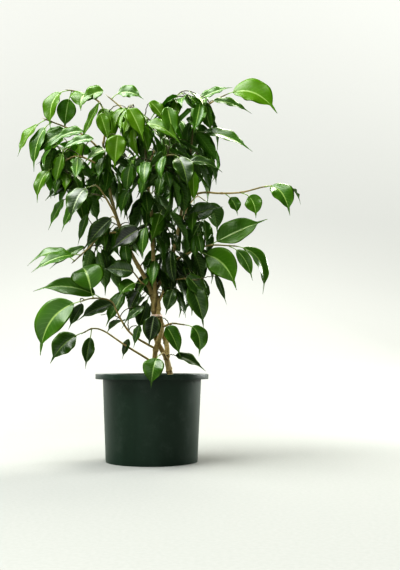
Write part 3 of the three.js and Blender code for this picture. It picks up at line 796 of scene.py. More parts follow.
def fig_bark():
    """Fig bark: thin, smooth and grey-tan on the stems, with pale pores and the rings of old leaf scars. It
    turns green and slightly glossy towards the ends of the shoots."""
    material, tree = new_material("fig_bark_smooth")
    if tree is None:
        return material
    style = bpy.context.scene.fig_wood
    length, young = (add(tree, "attribute", attribute_name=name) for name in ("length", "young"))
    streaks = add(tree, "ramp", specks(tree, 3 * MM, 4, (1, 1, 0.22)), 0.3, 0.7)
    colour = add(tree, "blend", add(tree, "product", streaks, 0.55), style.bark, linear("#6a5d38"))
    pale = add(tree, "ramp", specks(tree, 9 * MM, 2), 0.5, 0.75)
    colour = add(tree, "blend", add(tree, "product", pale, 0.5), colour, linear("#a9a071"))
    pores = add(tree, "cells", add(tree, "place"), 1 / (2.6 * MM))
    pore = add(tree, "ramp", pores, 0.1, 0.26, 1.0, 0.0)
    colour = add(tree, "blend", add(tree, "product", pore, 0.45), colour, linear("#bdb48a"))
    scars = add(tree, "to_and_fro", add(tree, "quotient", length, 19 * MM), 0.5)
    scar = add(tree, "ramp", scars, 0.0, 0.035, 1.0, 0.0)
    colour = add(tree, "blend", add(tree, "product", scar, 0.5), colour, linear("#4a3822"))
    green = add(tree, "ramp", young, 0.45, 1.0, 0.0, 0.85)
    colour = add(tree, "blend", green, colour, style.shoot)
    rough = add(tree, "product_sum", green, -0.25, 0.82)
    relief = add(tree, "sum", streaks, add(tree, "product", pore, 0.6))
    relief = add(tree, "sum", relief, add(tree, "product", scar, -0.8))
    normal = add(tree, "bump", relief, 0.2 * MM)
    add(tree, "material", add(tree, "surface", colour, rough, normal, 1.5))
    return material


def twig_bark():
    """Twig bark: this year's wood, still thin and olive-brown, with a dull shine."""
    material, tree = new_material("fig_twig_bark")
    if tree is None:
        return material
    style = bpy.context.scene.fig_wood
    streaks = add(tree, "ramp", specks(tree, 2 * MM, 3), 0.3, 0.7)
    colour = add(tree, "blend", streaks, style.shoot, linear("#3b3520"))
    normal = add(tree, "bump", streaks, 0.08 * MM)
    add(tree, "material", add(tree, "surface", colour, 0.62, normal, 1.5))
    return material


def pot_plastic():
    """Nursery pot: injection-moulded polypropylene, black with green in it. The moulding is satin, with a
    fine grain, faint vertical flow marks and a dusting of dry splashes over it."""
    material, tree = new_material("nursery_pot_polypropylene")
    if tree is None:
        return material
    style = bpy.context.scene.fig_pot
    flow = add(tree, "ramp", specks(tree, 16 * MM, 3, (1, 1, 0.12)), 0.3, 0.7)
    colour = add(tree, "blend", add(tree, "product", flow, 0.35), style.colour, linear("#1b3526"))
    dust = add(tree, "ramp", specks(tree, 30 * MM, 6, roughness=0.75), 0.48, 0.78)
    colour = add(tree, "blend", add(tree, "product", dust, 0.45), colour, linear("#424d45"))
    grain = specks(tree, 0.9 * MM, 2)
    rough = add(tree, "product_sum", dust, 0.15, add(tree, "product_sum", grain, 0.12, 0.36))
    scuffs = specks(tree, 6 * MM, 4, (1, 1, 0.3), 0.65)
    relief = add(tree, "sum", add(tree, "product", grain, 0.12), add(tree, "product", scuffs, 0.25))
    normal = add(tree, "bump", relief, 0.25 * MM)
    add(tree, "material", add(tree, "surface", colour, rough, normal, 1.45))
    return material


def damp_mix(name, first, second, size):
    """Potting mix: damp peat and composted bark, dark and crumbly, with no shine but a few wet grains."""
    material, tree = new_material(name)
    if tree is None:
        return material
    clumps = add(tree, "ramp", specks(tree, size, 6, roughness=0.7), 0.3, 0.7)
    colour = add(tree, "blend", clumps, first, second)
    wet = add(tree, "ramp", specks(tree, size * 2, 2), 0.55, 0.75, 0.95, 0.6)
    normal = add(tree, "bump", clumps, size * 0.5)
    add(tree, "material", add(tree, "surface", colour, wet, normal, 1.4))
    return material


def tie_tape():
    """Grafting tape: soft, stretched PVC in a pinkish cream, matt, with fine stretch lines."""
    material, tree = new_material("grafting_tape_soft_pvc")
    if tree is None:
        return material
    lines = add(tree, "ramp", specks(tree, 4 * MM, 3, (1, 1, 9)), 0.35, 0.65)
    colour = add(tree, "blend", lines, linear("#ecd8c8"), linear("#cfb09c"))
    normal = add(tree, "bump", lines, 0.15 * MM)
    add(tree, "material", add(tree, "waxy", colour, 0.55, normal, 1.5, 0.1, 1.5 * MM))
    return material


# Pot ---------------------------------------------------------------------------------------------------

POT_SEGMENTS = 168
DRILL_DEPTH, DRILL_SEGMENTS = 30 * MM, 24


def rounded(corners, radius, steps=4):
    """A profile with each inner corner rounded, by less where the runs beside it are short."""
    places = [Vector((x, y, 0)) for x, y in corners]
    out = [places[0]]
    for before, corner, after in zip(places, places[1:], places[2:]):
        back, ahead = before - corner, after - corner
        reach = min(radius, back.length * 0.45, ahead.length * 0.45)
        start, end = corner + back.normalized() * reach, corner + ahead.normalized() * reach
        for k in range(steps + 1):
            t = k / steps
            out.append(start * (1 - t) ** 2 + corner * 2 * t * (1 - t) + end * t ** 2)
    out.append(places[-1])
    return [(p.x, p.y) for p in out]


def spun(name, profile, segments, material):
    """A closed profile, given from the axis round to the axis, spun into a solid."""
    verts, faces = [], []
    for x, z in profile:
        for j in range(segments):
            turn = 2 * math.pi * j / segments
            verts.append((x * math.cos(turn), x * math.sin(turn), z))
    for k in range(len(profile) - 1):
        for j in range(segments):
            a, b = k * segments + j, k * segments + (j + 1) % segments
            faces.append((a, b, b + segments, a + segments))
    return smoothed(outward(mesh_object(name, verts, faces, material)))


def pot_profile(style):
    """The pot in section: foot ring, draining floor with a flat pad, a leaning wall and a rolled lip."""
    rim, _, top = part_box("nursery_pot")[1]
    inside, _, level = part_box("potting_mix")[1]  # the mix fills the pot at its own level
    wall, lip = style.wall, style.lip
    foot = rim - style.taper
    slope = (inside + wall - foot) / level

    def outside(z):
        return foot + slope * z

    rise, floor = style.floor_rise, style.floor
    section = [
        (0, 0), (style.pad, 0), (style.pad, rise), (foot - style.ring, rise), (foot - style.ring, 0),
        (foot, 0), (outside(top - wall), top - wall), (rim - wall, top - wall), (rim - wall, top - lip),
        (rim, top - lip), (rim, top), (outside(top) - wall, top),
        (outside(rise + floor) - wall, rise + floor), (style.pad - floor, rise + floor),
        (style.pad - floor, floor), (0, floor),
    ]
    return rounded(section, style.edge)


class FIG_OT_pot(bpy.types.Operator):
    """Spins the nursery pot, with its rolled lip and its drain holes"""

    bl_idname = "fig.pot"
    bl_label = "Pot"

    def execute(self, context):
        style = context.scene.fig_pot
        pot = spun("pot_shell", pot_profile(style), POT_SEGMENTS, pot_plastic())
        drills = []
        for k in range(style.holes):
            turn = 2 * math.pi * k / style.holes
            middle = Vector((math.cos(turn), math.sin(turn), 0)) * style.hole_circle
            work = bmesh.new()
            bmesh.ops.create_cone(
                work, cap_ends=True, segments=DRILL_SEGMENTS, radius1=style.hole, radius2=style.hole,
                depth=DRILL_DEPTH, matrix=Matrix.Translation(middle))
            mesh = bpy.data.meshes.new("drill")
            work.to_mesh(mesh)
            work.free()
            drills.append(linked("drill", mesh))
            cut = pot.modifiers.new("drain", "BOOLEAN")
            cut.object, cut.operation, cut.solver = drills[-1], "DIFFERENCE", "EXACT"
        settled(pot)
        for drill in drills:
            bpy.data.objects.remove(drill)
        finished(pot, "pot_plastic", "nursery_pot")
        return {"FINISHED"}


# Potting mix -------------------------------------------------------------------------------------------

MIX_LOOPS, MIX_SEGMENTS = 26, 72
LUMP_WIDTH, LUMP_HEIGHT = 7 * MM, 1.3 * MM
MOUND = 2.5 * MM  # how much higher the mix is in the middle than at the wall
MIX_DEPTH = 12 * MM  # how far down the shown part of the mix goes
# Crumbs: material, number to a square metre, smallest and largest in millimetres, how flat, and seed.
CRUMBS = {
    "mix_crumbs": ("peat", 34000, 1.0, 3.4, 0.8, 21),
    "mix_bark_chips": ("chips", 9000, 1.8, 5.2, 0.4, 22),
    "mix_perlite": ("stones", 1500, 1.0, 2.4, 0.9, 23),
}


def crumb_shape(name, chance, material, flat):
    """One crumb: a low icosahedron with its corners knocked about."""
    work = bmesh.new()
    bmesh.ops.create_icosphere(work, subdivisions=1, radius=0.5)
    for v in work.verts:
        v.co *= chance.uniform(0.7, 1.15)
        v.co.z *= flat
    mesh = bpy.data.meshes.new(name)
    work.to_mesh(mesh)
    work.free()
    mesh.materials.append(material)
    return bpy.data.objects.new(name, mesh)


def new_tree(name, **inputs):
    """An empty Geometry Nodes tree with inputs of the given names and types. Gives back the tree, its input
    sockets by name for a modifier, and the sockets inside it."""
    tree = bpy.data.node_groups.new(name, "GeometryNodeTree")
    sockets = {}
    for key, kind in inputs.items():
        sockets[key] = tree.interface.new_socket(name=key, in_out="INPUT", socket_type=f"NodeSocket{kind}")
    tree.interface.new_socket(name="Made", in_out="OUTPUT", socket_type="NodeSocketGeometry")
    return tree, sockets, tree.nodes.new("NodeGroupInput").outputs


def finish_tree(tree, made, material):
    """Ends a tree: what it made becomes real and takes its material."""
    add(tree, "result", add(tree, "coated", add(tree, "real", made), material))


def scatter_tree(material):
    """Geometry Nodes: crumbs of a collection strewn over a surface, each turned and sized by chance."""
    tree, sockets, inside = new_tree(
        "strewn_crumbs", Surface="Geometry", Crumbs="Collection", Density="Float", Smallest="Float",
        Largest="Float", Seed="Int")
    seed = inside["Seed"]
    spots = add(tree, "spots", inside["Surface"], inside["Density"], seed)
    shapes = add(tree, "shapes", inside["Crumbs"], True, True)
    turn = add(tree, "random_turn", (0, 0, 0), (math.tau, math.tau, math.tau), seed)
    size = add(tree, "random_size", inside["Smallest"], inside["Largest"], seed)
    finish_tree(tree, add(tree, "copies", spots, shapes, True, turn, size), material)
    return tree, sockets


def run_tree(made, tree, sockets, values):
    """Runs a Geometry Nodes tree on an object and keeps the result as a plain mesh."""
    modifier = made.modifiers.new(tree.name, "NODES")
    modifier.node_group = tree
    for name, value in values.items():
        modifier[sockets[name].identifier] = value
    settled(made)
    bpy.data.node_groups.remove(tree)
    return made


def hidden_collection(name, things):
    """A collection that isn't in the scene, for shapes that are only instanced."""
    group = bpy.data.collections.new(name)
    for thing in things:
        group.objects.link(thing)
    return group


def drop_collection(group):
    """Removes a collection and what is in it."""
    for thing in list(group.objects):
        bpy.data.objects.remove(thing)
    bpy.data.collections.remove(group)


def mix_surface(name, radius, level, foot, material):
    """The top of the mix: mounded in the middle, lumpy, and closed below."""
    loops, segments = MIX_LOOPS, MIX_SEGMENTS
    verts, faces = [Vector((0, 0, level))], []
    for k in range(1, loops + 1):
        for j in range(segments):
            turn = 2 * math.pi * j / segments
            reach = radius * k / loops
            spot = Vector((reach * math.cos(turn), reach * math.sin(turn), 0))
            lump = noise.fractal(spot / LUMP_WIDTH, 0.8, 2.1, 4) * LUMP_HEIGHT
            mound = MOUND * (1 - (k / loops) ** 2)
            verts.append(Vector((spot.x, spot.y, level - MOUND + mound + lump)))
    for j in range(segments):
        faces.append((0, 1 + j, 1 + (j + 1) % segments))
    for k in range(loops - 1):
        for j in range(segments):
            a, b = 1 + k * segments + j, 1 + k * segments + (j + 1) % segments
            faces.append((a, a + segments, b + segments, b))
    last = 1 + (loops - 1) * segments
    under = len(verts)
    for j in range(segments):
        turn = 2 * math.pi * j / segments
        verts.append(Vector((radius * math.cos(turn), radius * math.sin(turn), foot)))
    for j in range(segments):
        a, b = last + j, last + (j + 1) % segments
        faces.append((a, under + j, under + (j + 1) % segments, b))
    faces.append(tuple(under + j for j in reversed(range(segments))))
    return mesh_object(name, verts, faces, material)


class FIG_OT_potting_mix(bpy.types.Operator):
    """Fills the pot with lumpy potting mix and strews crumbs, bark chips and perlite over it"""

    bl_idname = "fig.potting_mix"
    bl_label = "Potting mix"

    def execute(self, context):
        style = context.scene.fig_wood
        reach, _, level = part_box("potting_mix")[1]
        radius = reach - 0.2 * MM
        looks = {
            "peat": damp_mix("potting_mix_damp_peat", style.mix, linear("#1d1510"), 3 * MM),
            "chips": damp_mix("composted_bark_chips", linear("#5b4027"), linear("#2f2015"), 2 * MM),
            "stones": damp_mix("perlite_white_grains", linear("#d9d6cc"), linear("#a8a498"), 1 * MM),
        }
        bed = mix_surface("mix_bed", radius, level, level - MIX_DEPTH, looks["peat"])
        finished(bed, "potting_mix", "potting_mix")
        chance = random.Random(3)
        for name, (look, density, smallest, largest, flat, seed) in CRUMBS.items():
            shapes = [crumb_shape(f"{name}_{k}", chance, looks[look], flat) for k in range(5)]
            group = hidden_collection(name, shapes)
            top = mix_surface(name, radius - 2.5 * MM, level - 0.3 * MM, level - MIX_DEPTH, looks[look])
            keep_top_only(top, level - MIX_DEPTH / 2)
            tree, sockets = scatter_tree(looks[look])
            run_tree(top, tree, sockets, {
                "Crumbs": group, "Density": float(density), "Smallest": smallest * MM,
                "Largest": largest * MM, "Seed": seed,
            })
            drop_collection(group)
            finished(top, "potting_mix")
        return {"FINISHED"}


def keep_top_only(made, level):
    """Takes away the faces of a bed of mix that are below a level or stand up steeply."""
    work = bmesh.new()
    work.from_mesh(made.data)
    below = [f for f in work.faces if f.calc_center_median().z < level or f.normal.z < 0.3]
    bmesh.ops.delete(work, geom=below, context="FACES")
    work.to_mesh(made.data)
    work.free()


# Stems, tie and branches -------------------------------------------------------------------------------


def stem_limb(name):
    """A stem's limb. Its root is its low end."""
    foot = Vector((0, 0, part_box(name)[0].z))
    return limb_of_node(name, STEM_SIDES, foot)


def branch_limb(name, stems):
    """A branch's limb. Its root is its end beside a stem."""
    wood = finder([point for stem in stems for point in stem.points])
    return limb_of_node(name, BRANCH_SIDES, end_beside(name, wood))


def knots_of(limb, places):
    """How far along a limb the given places stand."""
    at, points, _, _ = limb.sampled(2 * MM)
    return [at[min(range(len(points)), key=lambda k: (points[k] - place).length)] for place in places]


class FIG_OT_stems(bpy.types.Operator):
    """Grows the bark of the three twisted stems and their limbs"""

    bl_idname = "fig.stems"
    bl_label = "Stems"

    def execute(self, context):
        style = context.scene.fig_wood
        for k, name in enumerate(STEMS):
            limb = stem_limb(name)
            chance = random.Random(40 + k)
            knots = [place * MM for place in range(60, int(limb.length / MM) - 10, 23)]
            knots = [knot + chance.uniform(-6, 6) * MM for knot in knots]
            skin = bark_skin(limb, 18, BARK_STEP, style.ridge * 2, knots, k + 1, 3 * MM)
            verts, faces, values = skin
            bark = mesh_object(f"bark_{name}", verts, faces, fig_bark(), values)
            finished(bark, "bark", name)
        return {"FINISHED"}


class FIG_OT_branches(bpy.types.Operator):
    """Grows the bark of the branches, with a knot under each leaf and a bud at each end"""

    bl_idname = "fig.branches"
    bl_label = "Branches"

    def execute(self, context):
        style = context.scene.fig_wood
        stems = [stem_limb(name) for name in STEMS]
        for k, name in enumerate(BRANCHES):
            limb = branch_limb(name, stems)
            wood = finder(places_of(name))
            feet = [end_beside(leaf, wood) for leaf in LEAVES if branch_of(leaf) == name]
            knots = knots_of(limb, feet)
            verts, faces, values = bark_skin(limb, 12, BARK_STEP, style.ridge, knots, k + 5, 7 * MM)
            bark = mesh_object(f"bark_{name}", verts, faces, fig_bark(), values)
            finished(bark, "bark", name)
        return {"FINISHED"}


class FIG_OT_tie(bpy.types.Operator):
    """Softens the tie that holds the stems: its edges are rounded and its corners eased"""

    bl_idname = "fig.tie"
    bl_label = "Tie"

    def execute(self, context):
        work = welded("plant_tie")
        mesh = bpy.data.meshes.new("tie_band")
        bmesh.ops.recalc_face_normals(work, faces=work.faces)
        work.to_mesh(mesh)
        work.free()
        mesh.materials.append(tie_tape())
        band = linked("tie_band", mesh)
        remesh = band.modifiers.new("even", "REMESH")
        remesh.mode, remesh.voxel_size = "VOXEL", 0.28 * MM
        relax = band.modifiers.new("soft", "SMOOTH")
        relax.factor, relax.iterations = 0.5, 6
        finished(smoothed(settled(band)), "tie_tape", "plant_tie")
        return {"FINISHED"}


# Outer leaves ------------------------------------------------------------------------------------------


class FIG_OT_leaves(bpy.types.Operator):
    """Makes the outer leaves: fine blades with wavy margins, drip tips and stalks"""

    bl_idname = "fig.leaves"
    bl_label = "Outer leaves"

    def execute(self, context):
        style = context.scene.fig_leaves
        for k, node in enumerate(LEAVES):
            chance = random.Random(style.seed * 100 + k)
            verts, faces, values = outer_leaf(node, style, chance)
            # The listed tone: the leaf's age, with painted shade and light.
            values["tone"] = [LEAF_AGE_AND_SHADE.get(node, OTHER_LEAF_AGE_AND_SHADE)] * len(verts)
            blade = mesh_object(f"blade_{node[len('leaf_'):]}", verts, faces, leaf_cuticle(), values)
            finished(outward(blade), "leaf", node)
        return {"FINISHED"}


# Growth inside the crown -------------------------------------------------------------------------------

TWIG_STEPS, TWIG_SIDES = 9, 6
ZIGZAG = 0.5 * MM  # a twig turns this far aside at each leaf
START_SPACING = 4 * MM  # between the places on a limb where a twig may start
POT_GAP = 8 * MM  # leaves hang at least this far over the pot
MASS_SLACK = 1.16  # a leaf's tip may stand this far out of the masses
TWIG_LENGTHS = (30 * MM, 95 * MM)
SHOOT_LENGTHS = (8 * MM, 60 * MM)  # of the shoots that carry single leaves
BARE_SHARE = 0.28  # of a twig has no leaves, at its foot
LEAVES_TO_A_PIECE = 7
TRIES = 9  # attitudes tried before a leaf is left out
TONE_CHANGES = (-0.06, -0.03, 0.02, 0.08, 0.2, 0.38)  # how much younger a leaf may be than its neighbours
VARIANT_LENGTH = 56 * MM
VARIANT_ROWS = (0, 0.05, 0.15, 0.32, 0.52, 0.69, 0.81, 1)  # close together where the outline turns
# How far each kind arches and twists from its foot to its tip, in radians, and how steeply it folds.
LEAF_KINDS = (
    (0.25, 0.0, 0.16), (0.5, 0.25, 0.24), (0.8, -0.3, 0.3), (1.1, 0.15, 0.2),
    (0.4, -0.5, 0.4), (0.7, 0.5, 0.12), (1.3, -0.15, 0.3), (0.15, 0.2, 0.35),
)
STALK_LENGTH = 9 * MM


def ball_round(points):
    """The middle and radius of a ball that holds the points."""
    middle = middle_of(points)
    return middle, max((p - middle).length for p in points)


class Thicket:
    """What stands in the crown: places where a twig may start, and shapes that leaves keep out of."""

    def __init__(self):
        self.starts = []
        self.shapes = []
        self.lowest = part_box("nursery_pot")[1].z + POT_GAP

    def add_limb(self, limb, lowest):
        """Lets twigs start on a limb above a height."""
        _, points, headings, _ = limb.sampled(START_SPACING)
        for point, heading in zip(points[2:], headings[2:]):
            if point.z > lowest:
                self.starts.append((point, heading))

    def add_shape(self, points, faces):
        self.shapes.append((*ball_round(points), BVHTree.FromPolygons(points, faces)))

    def free(self, points, faces):
        """True if a shape cuts through none of those that stand."""
        middle, reach = ball_round(points)
        mine = None
        for other, other_reach, tree in self.shapes:
            if (other - middle).length > reach + other_reach:
                continue
            mine = mine or BVHTree.FromPolygons(points, faces)
            if mine.overlap(tree):
                return False
        return True


def within(masses, point, slack):
    """True if a point lies inside one of the crown's masses, let out by slack."""
    for mass in masses:
        parts = [(p - m * MM) / (h * MM * slack) for p, m, h in zip(point, mass["middle"], mass["half"])]
        if sum(part * part for part in parts) < 1:
            return True
    return False


def twig_line(start, heading, end, chance):
    """A twig that leaves its limb at a slant, arches, and bends down under its leaves."""
    length = (end - start).length
    away = (end - start).normalized()
    rise = UP * chance.uniform(0.2, 0.5)
    control = start + (heading * 0.35 + away * 0.6 + rise).normalized() * length * 0.55
    points = []
    for k in range(TWIG_STEPS + 1):
        t = k / TWIG_STEPS
        point = start * (1 - t) ** 2 + control * 2 * t * (1 - t) + end * t ** 2
        zigzag = (1 if k % 2 else -1) * ZIGZAG * (0 < k < TWIG_STEPS)
        points.append(point + heading.cross(away) * zigzag)
    return points


def leaf_variants(style, chance):
    """The leaves that fill the crown: flat, arched, folded and twisted blades on their stalks. Each grows
    from the origin along +Y and looks up."""
    skins = []
    for arch, twist, fold in LEAF_KINDS:
        centres, sides, tops, halves, rises = [], [], [], [], []
        for t in VARIANT_ROWS:
            turn = arch * t
            reach, drop = math.sin(turn) / arch, (1 - math.cos(turn)) / arch
            centres.append(Vector((0, STALK_LENGTH + VARIANT_LENGTH * reach, -VARIANT_LENGTH * drop)))
            heading = Vector((0, math.cos(turn), -math.sin(turn)))
            side = Vector((math.cos(twist * t), 0, math.sin(twist * t)))
            side = square_to(heading, side)
            sides.append(side)
            tops.append(side.cross(heading))
            half = VARIANT_LENGTH * bpy.context.scene.fig_growth.slenderness / 2 * outline(t)
            halves.append(half)
            rises.append(half * fold)
        blade = blade_skin(VARIANT_ROWS, centres, sides, tops, halves, rises, style, 2, chance)
        stalk = stalk_skin([Vector(), centres[0] * 0.5, centres[0], centres[1]], INNER_STALK, 3, 3)
        skins.append((joined(stalk, blade), blade))
    return skins


def leaf_turn(heading, droop, side, chance):
    """The turn that lays a leaf off its twig: out to one side, hanging by its own weight, top to the sky."""
    sideways = heading.cross(UP)
    if sideways.length < 0.2:
        sideways = heading.cross(Vector((chance.uniform(-1, 1), chance.uniform(-1, 1), 0.1)))
    sideways = sideways.normalized() * side
    along = heading * chance.uniform(0.3, 0.8) + sideways * chance.uniform(0.4, 1.0) - UP * droop
    along.normalize()
    outward = Vector((along.x, along.y, 0)) * chance.uniform(0.3, 1.0)
    top = square_to(along, UP + outward + Vector([chance.uniform(-0.45, 0.45) for _ in range(3)]))
    across = along.cross(top)
    return Matrix((across, along, top)).transposed()


def try_leaf(thicket, masses, skins, foot, heading, side, mean, chance):
    """Turns and sizes a leaf until it clears its neighbours. Gives back its kind, turn and size."""
    for attempt in range(TRIES):
        kind = chance.randrange(len(skins))
        droop = chance.uniform(0.35, 1.5)
        turn = leaf_turn(heading, droop, side, chance)
        size = mean / VARIANT_LENGTH * chance.uniform(0.75, 1.2) * (1 - 0.035 * attempt)
        verts, faces, _ = skins[kind][1]
        points = [turn @ (p * size) + foot for p in verts]
        tip = max(points, key=lambda p: (p - foot).length)
        near_tip = points[len(points) // 2]
        if not within(masses, tip, MASS_SLACK) or near_tip.z < thicket.lowest:
            continue
        if thicket.free(points, faces):
            thicket.add_shape(points, faces)
            return kind, turn, size
    return None


def age_and_shade_at(mass, point, chance):
    """Painted light and shade, with the leaves' age: leaves are brighter at the top and outside of a mass,
    where the light falls and the new growth is, and darkest in its middle, where the shade falls.
    """
    parts = [(p - m * MM) / (h * MM) for p, m, h in zip(point, mass["middle"], mass["half"])]
    height = min(max(parts[2] * 0.5 + 0.5, 0), 1)
    outer = min(math.sqrt(sum(part * part for part in parts)), 1)
    low, high = mass["age_and_shade_range"]
    own = chance.choice(TONE_CHANGES)
    return max(low + (high - low) * height ** 1.4 * (0.35 + 0.65 * outer) + own, 0)


def point_cloud(name, leaves):
    """Points that carry each leaf's turn, size, kind and tone, the tone holding painted shade and light."""
    mesh = bpy.data.meshes.new(name)
    mesh.from_pydata([tuple(foot) for foot, *_ in leaves], [], [])
    turns = [c for _, _, turn, _, _ in leaves for c in turn.to_euler()]
    mesh.attributes.new("turn", "FLOAT_VECTOR", "POINT").data.foreach_set("vector", turns)
    for key, kind, at in (("size", "FLOAT", 3), ("kind", "INT", 1), ("tone", "FLOAT", 4)):
        mesh.attributes.new(key, kind, "POINT").data.foreach_set("value", [leaf[at] for leaf in leaves])
    return linked(name, mesh)


def foliage_tree(material):
    """Geometry Nodes: a leaf at each point, of the kind, turn and size that the point carries."""
    tree, sockets, inside = new_tree(
        "leaves_on_twigs", Places="Geometry", Leaves="Collection", Growth="Float")
    shapes = add(tree, "shapes", inside["Leaves"], True, True)
    size = add(tree, "product", add(tree, "given", "size", data_type="FLOAT"), inside["Growth"])
    kind = add(tree, "given", "kind", data_type="INT")
    turn = add(tree, "given", "turn", data_type="FLOAT_VECTOR")
    finish_tree(tree, add(tree, "copies", inside["Places"], shapes, True, turn, size, kind), material)
    return tree, sockets


def twig_tree(material):
    """Geometry Nodes: a tapering round twig along each line, as thick as the line's points say."""
    tree, sockets, inside = new_tree("twigs_along_lines", Lines="Geometry", Sides="Int", Thickness="Float")
    line = add(tree, "curve", inside["Lines"])
    ring = add(tree, "circle", inside["Sides"], 1.0)
    reach = add(tree, "product", add(tree, "given", "reach", data_type="FLOAT"), inside["Thickness"])
    finish_tree(tree, add(tree, "tube", line, ring, reach, True), material)
    return tree, sockets


def twig_lines(name, twigs):
    """The lines of some twigs, each with its radius falling from its first to its last."""
    verts, edges, reaches = [], [], []
    for points, first, last in twigs:
        start = len(verts)
        verts.extend(tuple(p) for p in points)
        edges.extend((start + k, start + k + 1) for k in range(len(points) - 1))
        reaches.extend(first + (last - first) * k / (len(points) - 1) for k in range(len(points)))
    mesh = bpy.data.meshes.new(name)
    mesh.from_pydata(verts, edges, [])
    mesh.attributes.new("reach", "FLOAT", "POINT").data.foreach_set("value", reaches)
    return linked(name, mesh)


def twig_piece(name, twigs):
    """Twigs along their lines, as one finished piece."""
    tree, sockets = twig_tree(twig_bark())
    made = run_tree(twig_lines(name, twigs), tree, sockets, {"Sides": TWIG_SIDES, "Thickness": 1.0})
    return finished(smoothed(made), "bark")


def nearest_start(thicket, target, shortest, longest):
    """The place on the wood that a twig to the target would grow from: near it, and rather below it."""
    best, least = None, math.inf
    for point, heading in thicket.starts:
        gap = (point - target).length
        too_short, too_long = max(shortest - gap, 0), max(gap - longest, 0)
        cost = gap + 0.9 * max(point.z - target.z, 0) + 3 * too_short + 2 * too_long
        if cost < least:
            best, least = (point, heading), cost
    return best


def single_leaf(foot, tip, bow, width, face, style, chance):
    """A leaf given by where its blade starts, its tip, how far it bows up, and the way it faces."""
    middle = (foot + tip) / 2 + UP * bow
    rows = SINGLE_ROWS
    shares = [k / (rows - 1) for k in range(rows)]
    points = [foot * (1 - t) ** 2 + middle * 2 * t * (1 - t) + tip * t ** 2 for t in shares]
    top = square_to((tip - foot).normalized(), face)
    tops, sides, halves, rises = [], [], [], []
    for k, point in enumerate(points):
        heading = (points[min(k + 1, rows - 1)] - points[max(k - 1, 0)]).normalized()
        top = square_to(heading, top)
        tops.append(top)
        sides.append(heading.cross(top))
        half = width / 2 * outline(k / (rows - 1))
        halves.append(half)
        rises.append(half * SINGLE_FOLD)
    return blade_skin(shares, points, sides, tops, halves, rises, style, SINGLE_COLUMNS, chance)


def standing_thicket():
    """The thicket as the frame's own wood and leaves leave it."""
    thicket = Thicket()
    stems = [stem_limb(name) for name in STEMS]
    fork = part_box("plant_tie")[1].z + 20 * MM  # no twigs start lower on a stem
    for limb in stems:
        thicket.add_limb(limb, fork)
    for name in BRANCHES:
        thicket.add_limb(branch_limb(name, stems), 0)
    for made in bpy.context.scene.objects:
        if made.name.startswith(("blade_", "bark_stem")):
            points = [v.co.copy() for v in made.data.vertices]
            thicket.add_shape(points, [tuple(face.vertices) for face in made.data.polygons])
    return thicket


class FIG_OT_inner_leaves(bpy.types.Operator):
    """Sets the leaves that stand out inside the crown, each on its own shoot"""

    bl_idname = "fig.inner_leaves"
    bl_label = "Inner leaves"

    def execute(self, context):
        style = context.scene.fig_leaves
        thicket = standing_thicket()
        skins, twigs = [], []
        for k, (foot, tip, bow, width, tone, face) in enumerate(SINGLE_LEAVES):
            chance = random.Random(style.seed * 10 + k)
            foot, tip = Vector(foot) * MM, Vector(tip) * MM
            skin = single_leaf(foot, tip, bow * MM, width * MM, Vector(face), style, chance)
            skin[2]["tone"] = [tone] * len(skin[0])
            skins.append(skin)
            start, heading = nearest_start(thicket, foot, *SHOOT_LENGTHS)
            end = foot + (tip - foot).normalized() * 2 * MM  # a little way under the blade
            twigs.append((twig_line(start, heading, end, chance), 0.75 * MM, 0.5 * MM))
        for k in range(0, len(skins), LEAVES_TO_A_PIECE):
            verts, faces, values = joined(*skins[k:k + LEAVES_TO_A_PIECE])
            name = f"blade_inner_{k // LEAVES_TO_A_PIECE + 1}"
            made = mesh_object(name, verts, faces, leaf_cuticle(), values)
            finished(outward(made), "leaf")
        twig_piece("shoots_inner", twigs)
        return {"FINISHED"}


class FIG_OT_foliage(bpy.types.Operator):
    """Grows twigs from the branches into each mass of the crown, and hangs leaves on them"""

    bl_idname = "fig.foliage"
    bl_label = "Foliage"

    def execute(self, context):
        style, growth = context.scene.fig_leaves, context.scene.fig_growth
        thicket = standing_thicket()
        chance = random.Random(growth.seed)
        skins = leaf_variants(style, random.Random(growth.seed + 1))
        masses = list(MASSES.values())
        for name, mass in MASSES.items():
            twigs, leaves = [], []
            for _ in range(mass["twigs"]):
                target = target_in(mass, chance)
                start, heading = nearest_start(thicket, target, *TWIG_LENGTHS)
                line = twig_line(start, heading, target, chance)
                limb = Limb(line, [growth.twig] * len(line))
                twigs.append((line, growth.twig, growth.twig * 0.5))
                leaves.extend(leaves_along(limb, thicket, masses, skins, mass, growth, chance))
                thicket.add_limb(limb, 0)
            twig_piece(f"twigs_{name}", twigs)
            shapes = []
            for k, (skin, _) in enumerate(skins):
                shape = mesh_object(f"leaf_kind_{k}", *skin[:2], leaf_cuticle(), skin[2])
                context.scene.collection.objects.unlink(outward(shape))
                shapes.append(shape)
            group = hidden_collection("leaf_kinds", shapes)
            tree, sockets = foliage_tree(leaf_cuticle())
            made = point_cloud(f"foliage_{name}", leaves)
            run_tree(made, tree, sockets, {"Leaves": group, "Growth": 1.0})
            drop_collection(group)
            finished(made, "leaf")
        return {"FINISHED"}


def target_in(mass, chance):
    """A place in the outer part of a mass for a twig to reach for."""
    way = Vector([chance.gauss(0, 1) for _ in range(3)]).normalized()
    reach = chance.uniform(0.45, 0.95)
    return Vector([(m + h * w * reach) * MM for m, h, w in zip(mass["middle"], mass["half"], way)])


